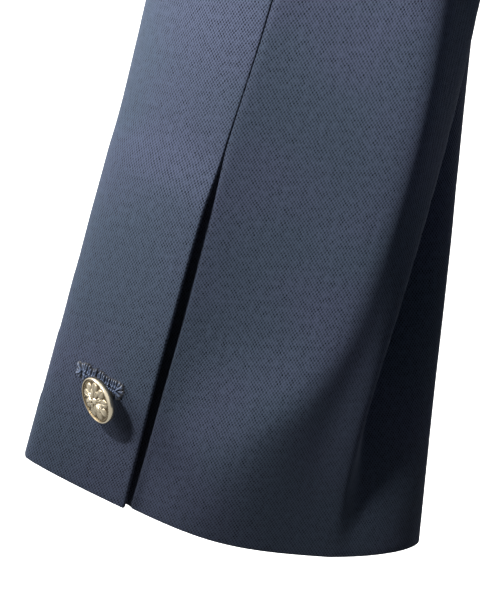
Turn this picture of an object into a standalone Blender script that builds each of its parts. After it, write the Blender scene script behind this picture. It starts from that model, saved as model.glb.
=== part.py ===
"""Tailored jacket in navy wool, filled out as if worn, with nobody in it.

Single-breasted, two front buttons, notched lapels and collar, two-piece sleeves whose
back seam opens in a vent closed by one metal button.

Tables and sizes are in millimetres and become metres where a mesh is made. +Z is up, the
wearer faces -Y and the wearer's left is +X. The origin is on the middle plane, level with
the points where the shoulder seams meet the neck and 10 mm in front of them, where
shoulders or a hanger carry the jacket.
Each panel is a grid of points worked out from rings or seams, given the cloth's thickness.
"""

import math

import bmesh
import bpy
import numpy as np
from mathutils import Vector
from mathutils.bvhtree import BVHTree

MM = 0.001

# Driving dimensions, in millimetres
CLOTH = 1.6  # navy cloth with its fusing
FRONT_CLOTH = 2.0  # front and its facing together
SEAM_GAP = 0.3
LAID_ON_GAP = 0.8  # between a layer and the one that it lies on
ARMHOLE_GAP = 0.6

HEM_Z = -648.0
NECK_POINT = np.array([72.0, 10.0, 0.0])
SHOULDER_POINT = np.array([206.0, 10.0, -40.0])
SHOULDER_ROUND, SHOULDER_ROUND_FROM = 9.0, 0.55  # fullness over the shoulder, and from where
NAPE = np.array([0.0, 68.0, -12.0])

# Body rings, bottom to top: half width at the side, depth before and behind the centre
TORSO_COLUMNS = ("z", "half_width", "front", "back", "centre_y")
TORSO = (
    (-648, 202, 130, 134, 4),
    (-560, 194, 125, 128, 2),
    (-470, 179, 116, 112, 0),
    (-395, 168, 112, 103, 0),
    (-320, 169, 121, 108, 0),
    (-245, 173, 130, 115, 0),
    (-190, 173, 128, 119, 1),
    (-140, 172, 122, 120, 2),
)
TORSO_SQUARENESS = 0.045

SIDE_FRONT_ANGLE = math.radians(66)  # side-front seam, from centre front
SIDE_BACK_ANGLE = math.radians(122)
SIDE_FRONT_TOP_Z = -184.0
SIDE_BACK_TOP_Z = -150.0
UNDERARM_Z = -216.0
# Middle points that shape the two upper halves of the armhole
ARMHOLE_FRONT_LOWER = np.array([149.0, -66.0, -138.0])
ARMHOLE_FRONT_UPPER = np.array([174.0, -44.0, -66.0])
ARMHOLE_BACK_LOWER = np.array([161.0, 88.0, -120.0])
ARMHOLE_BACK_UPPER = np.array([190.0, 62.0, -60.0])

OVERLAP = 20.0  # each front runs this far past the centre
BREAK_Z = -362.0  # where the lapel starts to turn
ROLL_TOP_X, ROLL_TOP_Z = 60.0, -42.0  # top of the lapel's roll line
CUTAWAY_Z, CUTAWAY = -505.0, 66.0  # the front edge curves away below this height
# Depth of the roll line above the armhole, seen from the side
ROLL_DEPTH_COLUMNS = ("z", "y")
ROLL_DEPTH = ((-184, -122), (-140, -107), (-100, -84), (-60, -52), (-28, -17), (0, 10))
# Centre back seam above the armhole
BACK_DEPTH_COLUMNS = ("z", "y")
BACK_DEPTH = ((-150, 121), (-110, 116), (-70, 102), (-36, 84), (-12, 68))

# The right front lies out over the left one, and over the left lapel near its break
CLOSURE_COLUMNS = ("z", "lift")
CLOSURE = ((-648, 3.0), (-430, 3.0), (-375, 5.3), (-275, 5.3), (-195, 0), (0, 0))
CLOSURE_WIDTH, CLOSURE_FADE = 26.0, 70.0

# Lapel, drawn on the front seen from straight ahead
LAPEL_START_Z, LAPEL_START_WIDTH = -350.0, 5.0
LAPEL_TIP = (146.0, -104.0)
LAPEL_BELLY = 7.0  # how far its long edge bows out
LAPEL_ROLL = 2.6  # how much higher it stands along the roll line
LAPEL_UPPER_GAP = 1.1  # and how much clearer its upper part and the collar are
NOTCH_SHARE = 0.62  # the collar takes this share of the lapel's top edge
LAPEL_EDGE = ((2.2, -1.0), (2.4, 0.3), (1.6, 2.1))  # turned edge: out past the front, up
LAPEL_EDGE_FACES = ((1.0, -0.2), (1.0, 0.15), (0.6, 0.8))

# Collar, from centre back round the neck to the lapel. Stand is its height on the neck
# seam, tilt turns that height from upright to square off the front, fall_* is its edge
COLLAR_COLUMNS = ("share", "stand", "tilt", "fall_x", "fall_y", "fall_z")
COLLAR = (
    (0.00, 31, 0.0, 0, 92, -30),
    (0.22, 30, 0.0, 46, 87, -30),
    (0.42, 27, 0.0, 88, 66, -28),
    (0.60, 22, 0.1, 117, 28, -22),
    (0.76, 14, 0.4, 129, -12, -26),
    (0.90, 6, 0.8, 134, -38, -38),
    (1.00, 1.2, 1.0, 134, -50, -52),
)
COLLAR_ROLL_RADIUS = 4.0
COLLAR_END_RADIUS = 2.4
COLLAR_LEAN = 0.15

BUTTON_COLUMNS = ("radius", "height")
BUTTON_PROFILE = (  # shank, back, rim and shallow dome, as shares of the button's radius
    (0.00, 0.00),
    (0.20, 0.00),
    (0.20, 0.34),
    (0.84, 0.36),
    (1.00, 0.48),
    (1.00, 0.70),
    (0.92, 0.78),
    (0.82, 0.74),
    (0.62, 0.78),
    (0.32, 0.83),
    (0.00, 0.85),
)
BUTTON_SIDES = 20
FRONT_BUTTON_RADIUS = 10.0
FRONT_BUTTONS = {"button_front_upper": -376.0, "button_front_lower": -478.0}
CUFF_BUTTON_RADIUS = 7.5
CUFF_BUTTON_ABOVE_HEM = 40.0
CUFF_BUTTON_FROM_EDGE = 12.5
CUFF_BUTTON_LEAN = math.radians(16)  # its inner edge lifts off the sleeve
BUTTON_SEAT = 0.3

# Rows and columns of the panels
BODY_ROWS = 12
ROWS_CROWD = 1.3  # rows lie closer towards the hem
FRONT_YOKE_ROWS = 6  # side-front seam to the top of the roll line
FRONT_NECK_ROWS = 2
BACK_CENTRE_ROWS = 4
BACK_NECK_ROWS = 4
FRONT_COLUMNS = 11
BACK_COLUMNS = 8
SIDE_COLUMNS = 14
LAPEL_ROWS = 11
LAPEL_COLUMNS = 7
FALL_COLUMNS = 6


def smoothstep(value):
    """0 below 0, 1 above 1, and a smooth ramp between."""
    t = np.clip(value, 0.0, 1.0)
    return t * t * (3 - 2 * t)


def lerp(a, b, share):
    return a + (b - a) * share


def curve_through(at, stations, values):
    """Cubic curve through values at rising stations; its slopes are those of the neighbours."""
    stations = np.asarray(stations, float)
    values = np.asarray(values, float)
    slopes = np.gradient(values, stations, axis=0)
    at = np.clip(at, stations[0], stations[-1])
    k = np.clip(np.searchsorted(stations, at, side="right") - 1, 0, len(stations) - 2)
    step = stations[k + 1] - stations[k]
    t = (at - stations[k]) / step
    if values.ndim > 1:
        t, step = t[..., None], step[..., None]
    return (
        (2 * t**3 - 3 * t**2 + 1) * values[k]
        + (t**3 - 2 * t**2 + t) * step * slopes[k]
        + (-2 * t**3 + 3 * t**2) * values[k + 1]
        + (t**3 - t**2) * step * slopes[k + 1]
    )


def from_table(table, columns, name, at):
    """A column of a table, as a smooth curve of the table's first column."""
    rows = np.array(table, float)
    return curve_through(np.asarray(at, float), rows[:, 0], rows[:, columns.index(name)])


def bezier(a, b, c, d, t):
    t = np.asarray(t, float)[..., None]
    return (1 - t) ** 3 * a + 3 * (1 - t) ** 2 * t * b + 3 * (1 - t) * t**2 * c + t**3 * d


def grid_normals(grid):
    """Unit normal at each point of a grid, from its neighbours: columns cross rows."""
    across = np.gradient(grid, axis=1)
    along = np.gradient(grid, axis=0)
    normal = np.cross(across, along)
    return normal / np.linalg.norm(normal, axis=2, keepdims=True)


def seam_matched_normals(front, side, back):
    """Normals of the three body panels, the same for both panels at each shared seam."""
    seam_rows = slice(0, BODY_ROWS + 1)
    joined = [front[seam_rows], side[:, 1:], back[seam_rows, 1:]]
    around = grid_normals(np.concatenate(joined, axis=1))
    to_front, to_side, to_back = (grid_normals(panel) for panel in (front, side, back))
    front_seam, back_seam = front.shape[1] - 1, -back.shape[1]
    to_front[seam_rows, -1] = to_side[:, 0] = around[:, front_seam]
    to_back[seam_rows, 0] = to_side[:, -1] = around[:, back_seam]
    to_back[:, -1, 0] = 0  # the centre back seam lies in the middle plane
    shoulder = SHOULDER_POINT - NECK_POINT
    upright = np.array([-shoulder[2], 0.0, shoulder[0]])
    to_front[-1] = to_back[-1] = upright
    return [n / np.linalg.norm(n, axis=2, keepdims=True) for n in (to_front, to_side, to_back)]


def mirrored(grid):
    """The same panel for the wearer's right, with its columns turned round to face out."""
    return (grid * (-1.0, 1.0, 1.0))[:, ::-1]


# ---------------------------------------------------------------- the body's own form


def torso_point(theta, z):
    """Body ring at height z: theta is 0 at centre front and pi at centre back."""
    theta, z = np.broadcast_arrays(np.asarray(theta, float), np.asarray(z, float))
    width, front, back, centre = (
        from_table(TORSO, TORSO_COLUMNS, name, z) for name in TORSO_COLUMNS[1:]
    )
    square = 1 + TORSO_SQUARENESS * np.sin(2 * theta) ** 2
    depth = np.where(np.cos(theta) > 0, front, back)
    return np.stack(
        [width * np.sin(theta) * square, centre - depth * np.cos(theta) * square, z], -1
    )


def torso_angle(x, z):
    """The ring angle in front at which the body has that x."""
    angles = np.radians(np.linspace(-30, 80, 111))
    return np.interp(x, torso_point(angles, z)[:, 0], angles)


def front_edge_x(z):
    """Where the left front ends: cut away at the hem, past the centre, then the roll line."""
    if z > BREAK_Z:
        share = (z - BREAK_Z) / (ROLL_TOP_Z - BREAK_Z)
        return lerp(-OVERLAP, ROLL_TOP_X, share)
    below = max(0.0, (CUTAWAY_Z - z) / (CUTAWAY_Z - HEM_Z))
    return -OVERLAP + CUTAWAY * (1 - math.sqrt(max(0.0, 1 - below**2)))


def armhole_front(share):
    """Armhole edge from the side-front seam up to the shoulder point."""
    start = torso_point(SIDE_FRONT_ANGLE, SIDE_FRONT_TOP_Z)
    return bezier(start, ARMHOLE_FRONT_LOWER, ARMHOLE_FRONT_UPPER, SHOULDER_POINT, share)


def armhole_back(share):
    start = torso_point(SIDE_BACK_ANGLE, SIDE_BACK_TOP_Z)
    return bezier(start, ARMHOLE_BACK_LOWER, ARMHOLE_BACK_UPPER, SHOULDER_POINT, share)


def underarm_z(share):
    """Height of the armhole under the arm; share is 0 at the back seam and 1 at the front."""
    chord = lerp(SIDE_BACK_TOP_Z, SIDE_FRONT_TOP_Z, share)
    deepest = (SIDE_BACK_TOP_Z + SIDE_FRONT_TOP_Z) / 2 - UNDERARM_Z
    return chord - deepest * np.sin(np.pi * share) ** 0.85


def upper_rows(base, edge, inner, share, fade):
    """Rows between two ends above a base row, which fade its bulge and round the shoulder."""
    across = np.linspace(0, 1, len(base))[:, None]
    bulge = base - lerp(base[0], base[-1], across)
    up = share[1:]
    turn = np.clip((up - SHOULDER_ROUND_FROM) / (1 - SHOULDER_ROUND_FROM), 0, 1)
    crown = SHOULDER_ROUND * np.sin(np.pi * turn)
    full = np.sin(np.pi * across) ** 0.6 * (0.0, 0.0, 1.0)
    return [
        lerp(e, i, across) + (1 - t) ** fade * bulge + c * full
        for e, i, t, c in zip(edge[1:], inner, up, crown)
    ]


def body_shares():
    """Rows from the hem (0) to the top of the side seams (1), closer towards the hem."""
    return np.linspace(0, 1, BODY_ROWS + 1) ** ROWS_CROWD


def yoke_shares():
    """Rows of the front from the side-front seam (0) to the shoulder (1)."""
    roll_top = (ROLL_TOP_Z - SIDE_FRONT_TOP_Z) / -SIDE_FRONT_TOP_Z
    below = np.linspace(0, roll_top, FRONT_YOKE_ROWS + 1)
    return np.concatenate([below, np.linspace(roll_top, 1, FRONT_NECK_ROWS + 1)[1:]])


def front_grid():
    """Left front: rows from hem to shoulder seam, columns from front edge to side seam."""
    columns = np.linspace(0, 1, FRONT_COLUMNS + 1)
    rows = []
    for z in lerp(HEM_Z, SIDE_FRONT_TOP_Z, body_shares()):
        inner = torso_angle(front_edge_x(z), z)
        rows.append(torso_point(lerp(SIDE_FRONT_ANGLE, inner, columns), z))
    share = yoke_shares()
    z = lerp(SIDE_FRONT_TOP_Z, 0.0, share)[1:]
    roll_end = (z - ROLL_TOP_Z) / -ROLL_TOP_Z
    x = np.where(
        z < ROLL_TOP_Z,
        [front_edge_x(v) for v in z],
        lerp(ROLL_TOP_X, NECK_POINT[0], np.clip(roll_end, 0, 1)),
    )
    inner = np.stack([x, from_table(ROLL_DEPTH, ROLL_DEPTH_COLUMNS, "y", z), z], 1)
    start = rows[-1][-1]
    inner[:, 1] += (start[1] - ROLL_DEPTH[0][1]) * (1 - share[1:])
    rows += upper_rows(rows[-1], armhole_front(share), inner, share, 0.8)
    return np.array(rows)[:, ::-1]


def back_grid():
    """Left back: rows from hem to shoulder seam, columns from side seam to centre back."""
    columns = np.linspace(0, 1, BACK_COLUMNS + 1)
    rows = [
        torso_point(lerp(SIDE_BACK_ANGLE, math.pi, columns), z)
        for z in lerp(HEM_Z, SIDE_BACK_TOP_Z, body_shares())
    ]
    centre_share = np.linspace(0, 1, BACK_CENTRE_ROWS + 1)[1:]
    z = lerp(SIDE_BACK_TOP_Z, NAPE[2], centre_share)
    y = from_table(BACK_DEPTH, BACK_DEPTH_COLUMNS, "y", z)
    y += (rows[-1][-1][1] - BACK_DEPTH[0][1]) * (1 - centre_share)
    centre = np.stack([0 * z, y, z], 1)
    turn = np.linspace(0, math.pi / 2, BACK_NECK_ROWS + 1)[1:]
    neck = np.stack(
        [
            NECK_POINT[0] * np.sin(turn),
            NECK_POINT[1] + (NAPE[1] - NECK_POINT[1]) * np.cos(turn),
            NAPE[2] * (1 - np.sin(turn) ** 2),
        ],
        1,
    )
    count = BACK_CENTRE_ROWS + BACK_NECK_ROWS
    share = np.linspace(0, 1, count + 1)
    rows += upper_rows(rows[-1], armhole_back(share), np.vstack([centre, neck]), share, 0.7)
    return np.array(rows)


def side_grid():
    """Left side panel: rows from hem to the scoop under the arm, columns front to back."""
    columns = np.linspace(1, 0, SIDE_COLUMNS + 1)
    angle = lerp(SIDE_BACK_ANGLE, SIDE_FRONT_ANGLE, columns)
    top = underarm_z(columns)
    return np.array([torso_point(angle, lerp(HEM_Z, top, f)) for f in body_shares()])


# ---------------------------------------------------------------- the sleeve's own form

# Rings down the sleeve, by the distance left to the hem. Half widths are across the
# flattened tube, through its back half and through its front half. Turn swings its broad
# side towards the back, slant raises its outer side, and outer_round and inner_round are 2
# on an ellipse and less where that quarter of the back half is flatter.
SLEEVE_COLUMNS = (
    ("above_hem", "x", "y", "z", "across", "back", "front", "turn")
    + ("slant", "outer_round", "inner_round")
)
SLEEVE = (
    (0, 316, -27, -624, 64, 32, 26, 20, 0.066, 1.14, 1.50),
    (45, 306, -20.5, -580.6, 60, 34, 29, 20, 0.055, 1.26, 1.58),
    (90, 296, -14, -537.2, 56.5, 36, 32, 20, 0.03, 1.42, 1.68),
    (135, 286, -7.6, -493.8, 53, 39, 36, 20, 0.01, 1.62, 1.80),
    (180, 276, -1.1, -450.4, 50.3, 42, 40, 19, 0, 1.80, 1.90),
    (250, 261.5, 5.5, -382, 49, 47, 46, 14, 0, 1.95, 2.00),
    (320, 247, 8.5, -313.5, 50, 54, 53, 7, 0, 2.00, 2.00),
    (391, 232, 8, -243, 50, 60, 60, 0, 0, 2.00, 2.00),
)
BICEPS = SLEEVE[-1][0]
# Ring angles, in degrees from the outer side through the front: where the seams run
SEAM_COLUMNS = ("above_hem", "back_seam", "front_seam")
SLEEVE_SEAMS = (
    (0, -49.5, 168),
    (36, -53, 167),
    (71, -57, 166),
    (136, -64, 163),
    (195, -73.5, 157),
    (280, -86, 145),
    (391, -98, 130),
)
# The long soft fold on the under side. Its ridge stands out, and beyond it the cloth drops
# into a hollow and comes back to the sleeve's edge
FOLD_COLUMNS = ("above_hem", "ridge", "hollow_depth", "ridge_height", "return_width")
FOLD = (
    (0, -126, 0, 0, 42),
    (20, -127, 4, 0.6, 42),
    (45, -129, 10, 1.8, 42),
    (90, -137, 15, 2.6, 36),
    (136, -146, 15, 2.6, 32),
    (180, -156, 11, 1.8, 28),
    (225, -168, 5, 0.8, 26),
    (280, -180, 0, 0, 26),
)
RIDGE_BEFORE, RIDGE_BEYOND = 15.0, 5.0  # half angles of the ridge, in degrees
HOLLOW_DROP = 11.0  # degrees from the ridge to the bottom of the hollow

VENT_LENGTH = 136.0
UNDERLAP = 28.0  # the under sleeve runs on this far below the vent's edge
VENT_STANDS_OFF = 3.6  # how far the edge gapes half-way down
VENT_RAMP = 22.0  # above the vent, where the top sleeve rises onto the underlap
VENT_GAP = 0.8
CAP_ROWS = 8
ARM_ROWS = (391, 350, 310, 270, 235, 205, 180, 158, 136, 116, 96, 78, 60, 44, 30, 15, 0)
UNDERLAP_COLUMNS = 4


def sleeve_axis(above_hem):
    """Centre of the ring at heights above the hem, and its down, outer and rear directions."""
    centre, before, after = (
        np.stack([from_table(SLEEVE, SLEEVE_COLUMNS, name, h) for name in "xyz"], -1)
        for h in (above_hem, above_hem - 1, above_hem + 1)
    )
    down = before - after
    down /= np.linalg.norm(down, axis=-1, keepdims=True)
    turn = np.radians(from_table(SLEEVE, SLEEVE_COLUMNS, "turn", above_hem))
    outer = np.stack([np.cos(turn), np.sin(turn), 0 * turn], -1)
    outer -= down * (outer * down).sum(-1, keepdims=True)
    outer /= np.linalg.norm(outer, axis=-1, keepdims=True)
    return centre, down, outer, np.cross(outer, down)


def fold_height(degrees, above_hem):
    """How far the fold moves the cloth out (ridge) or in (hollow) at each ring angle."""
    ridge, depth, height, width = (
        from_table(FOLD, FOLD_COLUMNS, name, above_hem) for name in FOLD_COLUMNS[1:]
    )
    beyond = (ridge - degrees + 180) % 360 - 180
    crest = np.exp(-((beyond / np.where(beyond < 0, RIDGE_BEFORE, RIDGE_BEYOND)) ** 2))
    back_out = np.clip(1 - (beyond - HOLLOW_DROP) / width, 0, 1)
    hollow = smoothstep(beyond / HOLLOW_DROP) * back_out**1.2
    return height * crest - depth * hollow


def ring_profile(degrees, above_hem):
    """Outer and rear offsets of a ring's point, and the same two parts of its normal.

    Each quarter is |outer/across|**n + |rear/through|**n = 1, with that quarter's n.
    """
    across, back, front, outer_round, inner_round = (
        from_table(SLEEVE, SLEEVE_COLUMNS, name, above_hem)
        for name in ("across", "back", "front", "outer_round", "inner_round")
    )
    angle = np.radians(degrees)
    cos, sin = np.cos(angle), -np.sin(angle)
    power = np.where(sin < 0, 2.0, np.where(cos > 0, outer_round, inner_round))
    through = np.where(sin < 0, front, back)
    size = (np.abs(cos) ** power + np.abs(sin) ** power) ** (-1 / power)
    cos, sin = cos * size, sin * size
    face_out = np.sign(cos) * np.abs(cos) ** (power - 1) / across
    face_rear = np.sign(sin) * np.abs(sin) ** (power - 1) / through
    length = np.hypot(face_out, face_rear)
    return across * cos, through * sin, face_out / length, face_rear / length


def sleeve_ring(degrees, above_hem, lift=0.0):
    """Point of the sleeve below the biceps at ring angles and heights above the hem."""
    degrees, above_hem = np.broadcast_arrays(
        np.asarray(degrees, float), np.asarray(above_hem, float)
    )
    centre, down, outer, rear = sleeve_axis(above_hem)
    slant = from_table(SLEEVE, SLEEVE_COLUMNS, "slant", above_hem)[..., None]
    outer = outer - slant * down
    out, back, face_out, face_rear = ring_profile(degrees, above_hem)
    raised = fold_height(degrees, above_hem) + lift
    return (
        centre
        + (out + face_out * raised)[..., None] * outer
        + (back + face_rear * raised)[..., None] * rear
    )


def degrees_along(degrees, above_hem, distance):
    """Ring angle that lies a distance further round the ring, measured on its surface."""
    steps = np.linspace(0, 60, 121)
    ahead = np.asarray(degrees)[..., None] + steps * np.sign(distance)
    out, back, _, _ = ring_profile(ahead, np.asarray(above_hem, float)[..., None])
    run = np.hypot(np.diff(out, axis=-1), np.diff(back, axis=-1)).cumsum(-1)
    share = (run < abs(distance)).sum(-1)
    return np.asarray(degrees) + share * steps[1] * np.sign(distance)


def sleeve_cap(ring_degrees, armhole, share):
    """Columns that leave the armhole sideways and turn down into the biceps ring."""
    end = sleeve_ring(ring_degrees, BICEPS)
    down = sleeve_axis(np.array(BICEPS, float))[1]
    reach = np.linalg.norm(end - armhole, axis=1, keepdims=True)
    head = (1 + np.cos(np.radians(ring_degrees)))[:, None] / 2
    leave = lerp(np.array([0.25, 0.0, -0.95]), np.array([0.72, 0.0, 0.06]), head)
    leave = leave * reach
    arrive = down * reach * lerp(0.9, 1.15, head)
    t = np.asarray(share, float)[:, None, None]
    return (
        (2 * t**3 - 3 * t**2 + 1) * armhole
        + (t**3 - 2 * t**2 + t) * leave
        + (-2 * t**3 + 3 * t**2) * end
        + (t**3 - t**2) * arrive
    )


def sleeve_seam(name, above_hem):
    return from_table(SLEEVE_SEAMS, SEAM_COLUMNS, name, above_hem)


def vent_lift(past_edge, above_hem):
    """How far the top sleeve lies out over the underlap, by degrees from the vent's edge."""
    open_share = smoothstep((VENT_LENGTH + VENT_RAMP - above_hem) / VENT_RAMP)
    layer = CLOTH + VENT_GAP
    lap = layer * smoothstep((70 - past_edge) / 24)
    gape = VENT_STANDS_OFF * np.sin(np.pi * np.clip(above_hem / VENT_LENGTH, 0, 1)) ** 0.8
    return open_share * (lap + gape * np.exp(-((past_edge / 26) ** 2)))


def armhole_loop(part):
    """Armhole points for the top or under sleeve, moved out by the seam's gap."""
    front = armhole_front(yoke_shares())
    back = armhole_back(np.linspace(0, 1, BACK_CENTRE_ROWS + BACK_NECK_ROWS + 1))
    columns = np.linspace(0, 1, SIDE_COLUMNS + 1)
    angle = lerp(SIDE_BACK_ANGLE, SIDE_FRONT_ANGLE, columns)
    under = torso_point(angle, underarm_z(columns))
    loop = under[::-1] if part == "under" else np.vstack([back, front[::-1][1:]])
    return loop + (ARMHOLE_GAP, 0, 0)


def sleeve_grid(part):
    """Left top or under sleeve, with rows from hem to armhole and columns that face out."""
    heights = np.array(ARM_ROWS, float)
    front = sleeve_seam("front_seam", heights)[:, None]
    back = sleeve_seam("back_seam", heights)[:, None]
    armhole = armhole_loop(part)
    share = np.linspace(0, 1, len(armhole))
    if part == "top":
        degrees = lerp(back, front, share)
        past_edge = degrees - back
        lift = vent_lift(past_edge, heights[:, None])
    else:
        degrees = lerp(front, back + 360, share)
        lift = 0.0
    arm = sleeve_ring(degrees, heights[:, None], lift)
    cap = sleeve_cap(degrees[0], armhole, np.linspace(0, 1, CAP_ROWS + 1)[:-1])
    grid = np.concatenate([cap, arm])
    present = np.ones((grid.shape[0] - 1, grid.shape[1] - 1), bool)
    if part == "under":
        steps = np.linspace(0, 1, UNDERLAP_COLUMNS + 1)[1:]
        lap_end = degrees_along(back[:, 0], heights, UNDERLAP)[:, None]
        lap = lerp(back, lap_end, steps) + 360
        lap = sleeve_ring(lap, heights[:, None])
        last_step = cap[:, -1:] - cap[:, -2:-1]
        above = cap[:, -1:] + last_step * np.arange(1, UNDERLAP_COLUMNS + 1)[:, None]
        grid = np.concatenate([grid, np.concatenate([above, lap])], axis=1)
        vent = np.array([h <= VENT_LENGTH for h in ARM_ROWS[:-1]])
        vent = np.concatenate([np.zeros(CAP_ROWS, bool), vent])
        present = np.concatenate(
            [present, np.repeat(vent[:, None], UNDERLAP_COLUMNS, axis=1)], axis=1
        )
    return grid[::-1, ::-1], present[::-1, ::-1]


# ---------------------------------------------------------------- lapels and collar


def closure_lift(grid):
    """How far out the right front lies at each point of the left front's grid."""
    table = np.array(CLOSURE)
    lift = np.interp(grid[..., 2], table[:, 0], table[:, 1])
    return lift * smoothstep(1 - (grid[..., 0] - CLOSURE_WIDTH) / CLOSURE_FADE)


def search_tree(*grids):
    """Search tree over the outer faces of panels."""
    points, faces = [], []
    for grid in grids:
        rows, columns = grid.shape[:2]
        corner = len(points) + np.arange(rows * columns).reshape(rows, columns)
        around = (corner[:-1, :-1], corner[:-1, 1:], corner[1:, 1:], corner[1:, :-1])
        faces += np.stack(around, -1).reshape(-1, 4).tolist()
        points += [Vector(point) for point in grid.reshape(-1, 3)]
    return BVHTree.FromPolygons(points, faces)


def seen_from_front(tree, x, z):
    """Point and outward normal of the front where a level line from ahead meets it."""
    hit, normal = tree.ray_cast(Vector((x, -400, z)), Vector((0, 1, 0)))[:2]
    if normal.y > 0:
        normal.negate()
    return np.array(hit), np.array(normal)


def gorge(share):
    """Lapel's top edge seen from ahead, from the roll line (0) to the tip (1)."""
    return lerp(np.array([ROLL_TOP_X, ROLL_TOP_Z]), np.array(LAPEL_TIP), share)


def roll_edge(grid, tree, z):
    """Front's edge on the roll line at a height, and the directions past it and off it."""
    edge = grid[:, 0]
    point = np.array([np.interp(z, edge[:, 2], edge[:, axis]) for axis in range(3)])
    ahead = np.array([np.interp(z + 5, edge[:, 2], edge[:, axis]) for axis in range(3)])
    _, normal = seen_from_front(tree, point[0] + 2, z)
    past = np.cross(normal, ahead - point)
    past /= np.linalg.norm(past)
    return point, past * np.sign(-past[0]), normal


def lapel_grid(grid):
    """Lapel on a left front: rows from the break to the gorge, columns from the roll line."""
    tree = search_tree(grid)
    start = np.array([front_edge_x(LAPEL_START_Z), LAPEL_START_Z])
    top = gorge(0.0)
    outer_start = start + (LAPEL_START_WIDTH, 0)
    outer_line = np.array(LAPEL_TIP) - outer_start
    square = np.array([-outer_line[1], outer_line[0]]) / np.linalg.norm(outer_line)
    points, normals = [], []
    for t in np.linspace(0, 1, LAPEL_ROWS + 1):
        inner = lerp(start, top, t)
        belly = LAPEL_BELLY * math.sin(math.pi * t)
        outer = outer_start + outer_line * t - square * belly
        edge, past, off = roll_edge(grid, tree, inner[1])
        row = [edge + past * out + off * up for out, up in LAPEL_EDGE]
        faces = [past * out + off * up for out, up in LAPEL_EDGE_FACES]
        roll = LAPEL_ROLL * smoothstep((t - 0.2) / 0.4)
        width = np.linalg.norm(outer - inner)
        for s in np.linspace(0, 1, LAPEL_COLUMNS + 1):
            s = lerp(min(0.3, 3.0 / width), 1.0, s)
            point, normal = seen_from_front(tree, *lerp(inner, outer, s))
            stands = roll * math.sin(math.pi * min(1.0, s * width / 40)) ** 2
            clear = LAID_ON_GAP + LAPEL_UPPER_GAP * smoothstep(t / 0.4)
            row.append(point + normal * (CLOTH + clear + stands))
            faces.append(normal)
        points.append(row)
        normals.append(faces)
    normals = np.array(normals)
    return np.array(points), normals / np.linalg.norm(normals, axis=2, keepdims=True)


def neck_seam(front, back):
    """Neckline from centre back over the shoulder to the top of the roll line.

    Gives its points, with one between each two of the panels', and their shares of it.
    """
    back_edge = back[BODY_ROWS + BACK_CENTRE_ROWS :, -1]
    front_edge = front[BODY_ROWS + FRONT_YOKE_ROWS :, 0][::-1]
    points = np.vstack([back_edge, front_edge[1:]])
    middles = (points[1:] + points[:-1]) / 2
    points = np.insert(points, np.arange(1, len(points)), middles, axis=0)
    along = np.concatenate([[0], np.linalg.norm(np.diff(points, axis=0), axis=1).cumsum()])
    last = points[-2] - points[-1]
    points[-1] += last / np.linalg.norm(last) * 2 * SEAM_GAP
    return points, along / along[-1]


def pressed(tree, point, share):
    """Moves a point to lie on the body, fully at share 1, and never nearer than allowed."""
    clear = CLOTH + LAID_ON_GAP + LAPEL_UPPER_GAP
    near, normal, _, _ = tree.find_nearest(Vector(point))
    near, normal = np.array(near), np.array(normal)
    height = (point - near) @ normal
    return point + normal * (max(clear, lerp(height, clear, share)) - height)


def collar_half(front, back):
    """Left half of the collar: rows from centre back to the gorge, columns up and over."""
    tree = search_tree(front, back)
    rows = []
    corner = gorge(NOTCH_SHARE)
    seams, shares = neck_seam(front, back)
    for seam, along, share in zip(seams, np.gradient(seams, axis=0), shares):
        stand, tilt, *fall = (
            float(from_table(COLLAR, COLLAR_COLUMNS, name, share))
            for name in COLLAR_COLUMNS[1:]
        )
        upright = np.array([0, -COLLAR_LEAN * (1 - share), 1.0])
        _, off = seen_from_front(tree, max(seam[0] + 2, 62), min(seam[2], -6))
        up = lerp(upright, off, tilt)
        along /= np.linalg.norm(along)
        up -= along * (up @ along)
        up /= np.linalg.norm(up)
        out = np.cross(up, along)
        radius = lerp(COLLAR_ROLL_RADIUS, COLLAR_END_RADIUS, smoothstep((share - 0.5) / 0.5))
        end = smoothstep((share - 0.72) / 0.28)
        base = seam - out * lerp(CLOTH, 2.2, end) + up * lerp(0.5, -1.0, end)
        middle = seam + up * max(stand - radius, 0.0) - out * lerp(-1.5, 0.0, end)
        fall = np.array(fall)
        lean = np.arctan2(-(fall - middle) @ up, (fall - middle) @ out)
        turn = np.linspace(0, math.pi / 2 + max(lean, 0), 5)[:, None]
        arc = middle + radius * (np.sin(turn) * up - np.cos(turn) * out)
        row = [base, lerp(base, arc[0], 0.5), *arc]
        kink = smoothstep((share - 0.78) / 0.22)
        for q in np.linspace(0, 1, FALL_COLUMNS + 1)[1:]:
            point = pressed(tree, lerp(arc[-1], fall, q), smoothstep((q - 0.3) / 0.5))
            if kink > 0:
                point = lerp(point, gorge_point(tree, corner, q), kink)
                point = pressed(tree, point, 0.0)
            row.append(point)
        rows.append(row)
    return np.array(rows)


def gorge_point(tree, corner, share):
    """Point of the collar's end edge: along the gorge to the notch, then up to its point."""
    tip = np.array([COLLAR[-1][3], COLLAR[-1][5]])
    seam_share = 0.66
    above = np.array([0.5, 0.75])
    if share <= seam_share:
        x, z = lerp(gorge(0.0), corner, share / seam_share) + above
    else:
        x, z = lerp(corner + above, tip, (share - seam_share) / (1 - seam_share))
    point, normal = seen_from_front(tree, x, z)
    return point + normal * (CLOTH + LAID_ON_GAP + LAPEL_UPPER_GAP)


# ---------------------------------------------------------------- walls


def retract(grid, edges):
    """Pulls the named edges of a grid in by half a seam gap."""
    grid = grid.copy()
    for edge in edges:
        view, inner = {
            "left": (grid[:, 0], grid[:, 1]),
            "right": (grid[:, -1], grid[:, -2]),
            "top": (grid[-1], grid[-2]),
        }[edge]
        step = inner - view
        length = np.maximum(np.linalg.norm(step, axis=1, keepdims=True), 1e-9)
        view += step / length * np.minimum(SEAM_GAP / 2, length / 2)
    return grid


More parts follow.
